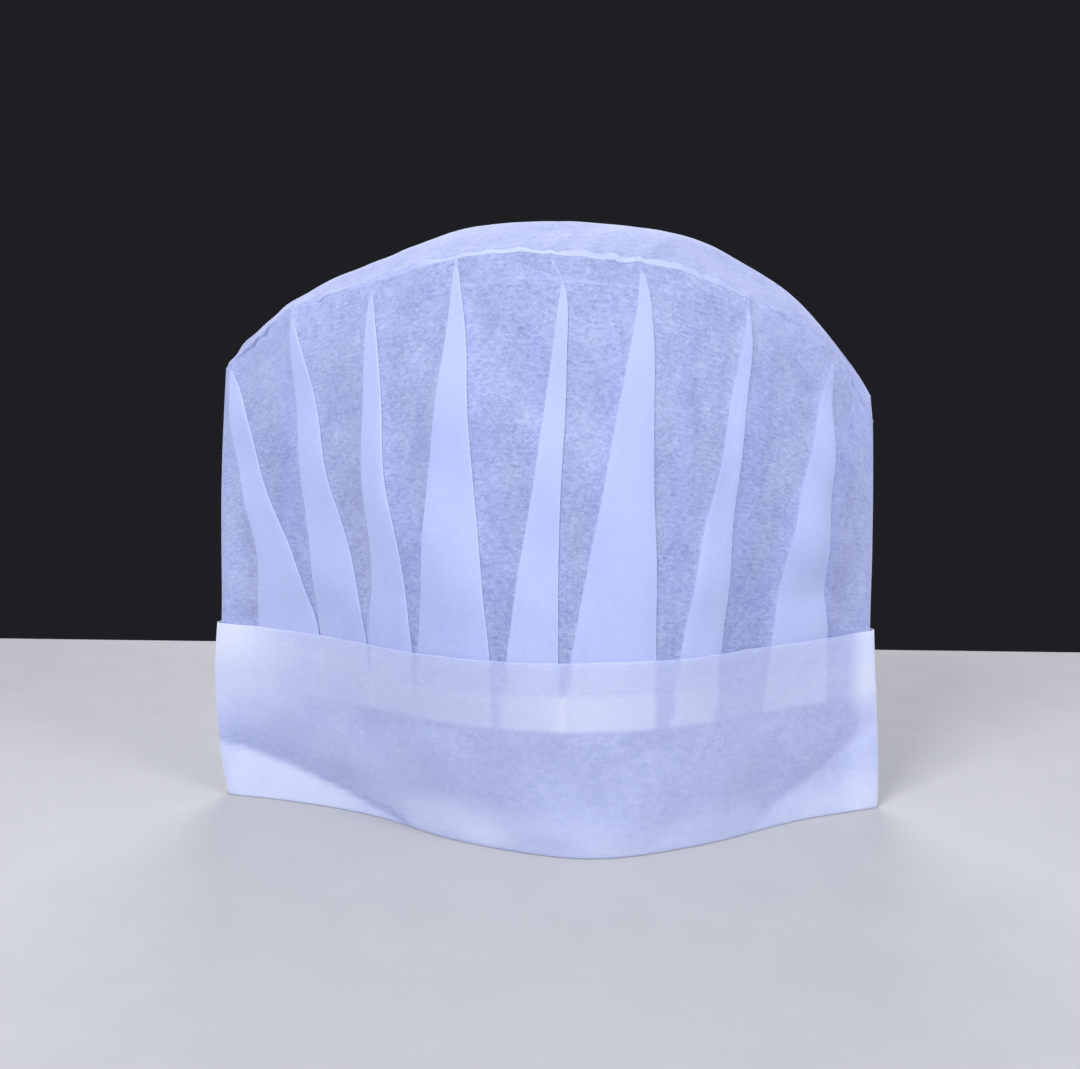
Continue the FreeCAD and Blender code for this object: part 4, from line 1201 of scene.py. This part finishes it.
def plastic(name, colour, rough=0.4, scale=1.0):
    net = Net(name)
    uv = net.node("ShaderNodeUVMap", uv_map="mm").outputs[0]
    n = net.noise(uv, 1.2 * scale, 4.0, 0.6).outputs["Fac"]
    tint = net.mixc(net.remap(n, 0.3, 0.7), tuple(c * 0.86 for c in colour[:3]) + (1,), colour)
    b = net.node("ShaderNodeBump", {"Height": n, "Strength": 0.25, "Distance": 0.0001})
    p = net.node("ShaderNodeBsdfPrincipled", {"Base Color": tint, "Roughness": net.remap(n, 0.3, 0.7, rough - 0.06, rough + 0.12),
                                             "Specular IOR Level": 0.5, "Normal": b.outputs[0]})
    net.nt.links.new(p.outputs[0], net.out.inputs["Surface"])
    return net.m


def pile(name, colour):
    net = Net(name)
    uv = net.node("ShaderNodeUVMap", uv_map="mm").outputs[0]
    fib = fibre_net(net, uv, long_mm=2.6, fine_mm=0.32, angles=(20, 75, 130), keen=8.0)
    n = net.noise(uv, 1.9, 4.0, 0.65).outputs["Fac"]
    h = net.math("ADD", net.math("MULTIPLY", fib, 0.6), net.math("MULTIPLY", n, 0.6))
    tint = net.mixc(net.remap(h, 0.2, 0.8), tuple(c * 0.62 for c in colour[:3]) + (1,), colour)
    b = net.node("ShaderNodeBump", {"Height": h, "Strength": 0.8, "Distance": 0.0003})
    p = net.node("ShaderNodeBsdfPrincipled", {"Base Color": tint, "Roughness": 0.95, "Specular IOR Level": 0.15,
                                             "Sheen Weight": 0.4, "Sheen Roughness": 0.5, "Normal": b.outputs[0]})
    net.nt.links.new(p.outputs[0], net.out.inputs["Surface"])
    return net.m


def glue_film(name):
    net = Net(name)
    uv = net.node("ShaderNodeUVMap", uv_map="mm").outputs[0]
    n = net.noise(uv, 1 / 1.7, 3.0, 0.6).outputs["Fac"]
    tint = net.mixc(net.remap(n, 0.3, 0.7), (0.50, 0.55, 0.82, 1), (0.62, 0.68, 0.92, 1))
    p = net.node("ShaderNodeBsdfPrincipled", {"Base Color": tint, "Roughness": net.remap(n, 0.3, 0.7, 0.25, 0.5),
                                             "Specular IOR Level": 0.5})
    clear = net.node("ShaderNodeBsdfTransparent", {"Color": (1, 1, 1, 1)})
    back = net.node("ShaderNodeNewGeometry").outputs["Backfacing"]
    shown = net.math("MULTIPLY", net.remap(n, 0.3, 0.7, 0.30, 0.55), net.math("SUBTRACT", 1.0, back))
    last = net.node("ShaderNodeMixShader", {0: shown, 1: clear.outputs[0], 2: p.outputs[0]})
    net.nt.links.new(last.outputs[0], net.out.inputs["Surface"])
    return net.m


# THIN and THICK: open and dense cloth; the BRIGHT tints: the densest stacks and also the painted highlights and
# painted sheen
THIN = (0.338, 0.386, 0.704, 1.0)
THICK = (0.570, 0.630, 0.905, 1.0)
BRIGHT = (0.720, 0.775, 0.960, 1.0)
BAND_THIN = (0.465, 0.515, 0.790, 1.0)
BAND_THICK = (0.660, 0.715, 0.930, 1.0)
BAND_BRIGHT = (0.830, 0.870, 0.975, 1.0)
crown_mat = cloth("crown_cloth", THIN, THICK, BRIGHT, 0.46, 0.77, grainy=0.16, packed=0.765)
band_mat = cloth("band_cloth", BAND_THIN, BAND_THICK, BAND_BRIGHT, 0.66, 0.84, grain=(4.2, 2.6), soft=0.3, grainy=0.42, most=0.90)

# the crown's plies attribute holds the ply count and also painted highlights at the fold edges, the rim and the
# creases
pts, faces, uvs, plies = build_crown()
crown = mesh_object("crown_sheet", pts, faces, uvs, plies)
crown.data.materials.append(crown_mat)
# the band's plies attribute holds the layers showing through and also painted light and shade at the creases and
# corners
pts, faces, uvs, layers_and_painted_light = build_band()
band = mesh_object("headband_cloth", pts, faces, uvs, per_point=layers_and_painted_light)
band.data.materials.append(band_mat)
pts, faces, uvs, plies = build_tail()
tail = mesh_object("headband_tail_cloth", pts, faces, uvs, plies)
tail.data.materials.append(band_mat)

glue_mat = glue_film("adhesive_film")
pts, faces, uvs, _ = build_glue(0.625, 64.0, 69.0, 91)
glue_out = mesh_object("outer_glue_ribbon", pts, faces, uvs)
glue_out.data.materials.append(glue_mat)
pts, faces, uvs, _ = build_glue(2.075, 52.0, 57.0, 92)
glue_in = mesh_object("inner_glue_ribbon", pts, faces, uvs)
glue_in.data.materials.append(glue_mat)

hook_data = plate(TAIL_C, HOOK_R, HOOK_R + 0.78, HOOK_A0, HOOK_SWEEP, 16.0, 58.0, 2.0, cols=12, rows=22)
pts, faces, uvs = add_hooks(*hook_data)
hook = mesh_object("hook_pad", *outward(pts, faces, uvs), flat_angle=40)
hook.data.materials.append(plastic("hook_plastic", (0.78, 0.80, 0.86, 1.0), 0.38))
tuft = waves(95, 16, 0.9, 2.4)
pts, faces, uvs = plate(LOOP_C, LOOP_R, LOOP_R + 0.62, LOOP_A0, LOOP_SWEEP, 12.0, 62.0, 2.0,
                        bump=lambda u, z: 0.09 + 0.09 * float(tuft(u, z)), cols=70, rows=100)
loop = mesh_object("loop_pad", *outward(pts, faces, uvs))
loop.data.materials.append(pile("loop_pile", (0.80, 0.82, 0.90, 1.0)))

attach(crown, "hat")
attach(band, "hat")
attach(glue_out, "hat")
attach(glue_in, "hat")
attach(loop, "hat")
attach(hook, "closure_tail")
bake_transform(tail)
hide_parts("crown")
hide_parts("headband")
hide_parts("headband_tail")
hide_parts("hook_patch")
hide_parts("loop_patch")
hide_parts("outer_glue_line")
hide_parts("inner_glue_line")

# ------------------------------------------------------------------------------------------------------------------
# Stage: pale floor, soft light, camera
# ------------------------------------------------------------------------------------------------------------------
me = bpy.data.meshes.new("floor")
x0, x1, y0, y1, z1 = -1.6, 1.6, -1.8, 0.27, -0.0001
me.from_pydata([(x0, y0, z1), (x1, y0, z1), (x1, y1, z1), (x0, y1, z1),
                (x0, y0, z1 - 0.02), (x1, y0, z1 - 0.02), (x1, y1, z1 - 0.02), (x0, y1, z1 - 0.02)], [],
               [(0, 1, 2, 3), (7, 6, 5, 4), (4, 5, 1, 0), (5, 6, 2, 1), (6, 7, 3, 2), (7, 4, 0, 3)])
floor = bpy.data.objects.new("floor", me)
bpy.context.collection.objects.link(floor)
fm = Net("floor_matte")
fn = fm.noise(fm.node("ShaderNodeTexCoord").outputs["Object"], 35.0, 4.0, 0.6).outputs["Fac"]
fp = fm.node("ShaderNodeBsdfPrincipled", {"Base Color": fm.mixc(fn, (0.40, 0.405, 0.43, 1), (0.44, 0.445, 0.47, 1)),
                                         "Roughness": 0.7, "Specular IOR Level": 0.2})
fm.nt.links.new(fp.outputs[0], fm.out.inputs["Surface"])
floor.data.materials.append(fm.m)

world = bpy.data.worlds.new("studio")
bpy.context.scene.world = world
world.use_nodes = True
wn = world.node_tree
wn.nodes.clear()
wo = wn.nodes.new("ShaderNodeOutputWorld")
seen = wn.nodes.new("ShaderNodeBackground")
seen.inputs[0].default_value = (0.014, 0.014, 0.017, 1)
fill = wn.nodes.new("ShaderNodeBackground")
fill.inputs[0].default_value = (0.20, 0.205, 0.23, 1)
mixw = wn.nodes.new("ShaderNodeMixShader")
path = wn.nodes.new("ShaderNodeLightPath")
wn.links.new(path.outputs["Is Camera Ray"], mixw.inputs[0])
wn.links.new(fill.outputs[0], mixw.inputs[1])
wn.links.new(seen.outputs[0], mixw.inputs[2])
wn.links.new(mixw.outputs[0], wo.inputs[0])


def area(name, at, to, size, power, colour=(1, 1, 1)):
    d = bpy.data.lights.new(name, "AREA")
    d.shape = "RECTANGLE"
    d.size, d.size_y = size
    d.energy = power
    d.color = colour
    o = bpy.data.objects.new(name, d)
    bpy.context.collection.objects.link(o)
    o.location = at
    o.rotation_mode = "QUATERNION"
    o.rotation_quaternion = (Vector(to) - Vector(at)).to_track_quat("-Z", "Y")
    o.visible_camera = False
    return o


area("key", (-0.55, -0.85, 0.80), (0, 0, 0.10), (0.45, 0.45), 15.3)
area("top", (0.05, -0.10, 1.15), (0, 0, 0.15), (0.8, 0.5), 2.3)
area("side", (0.85, -0.60, 0.50), (0, 0, 0.12), (0.4, 0.6), 8.0)
area("behind", (-0.05, 1.0, 0.72), (0, 0, 0.10), (0.9, 0.7), 10.0)

cam_data = bpy.data.cameras.new("camera")
cam_data.lens, cam_data.sensor_width = 33.333, 36.0
cam_data.clip_start, cam_data.clip_end = 0.01, 20.0
cam = bpy.data.objects.new("camera", cam_data)
bpy.context.collection.objects.link(cam)
cam.location = (0.020754, -0.406378, 0.1667)
cam.rotation_mode = "QUATERNION"
cam.rotation_quaternion = Vector((-0.05361616, 0.98999405, -0.13052619)).to_track_quat("-Z", "Y")
bpy.context.scene.camera = cam
bpy.context.scene.view_settings.view_transform = "Standard"
bpy.context.scene.cycles.transparent_max_bounces = 48
bpy.context.scene.cycles.max_bounces = 10
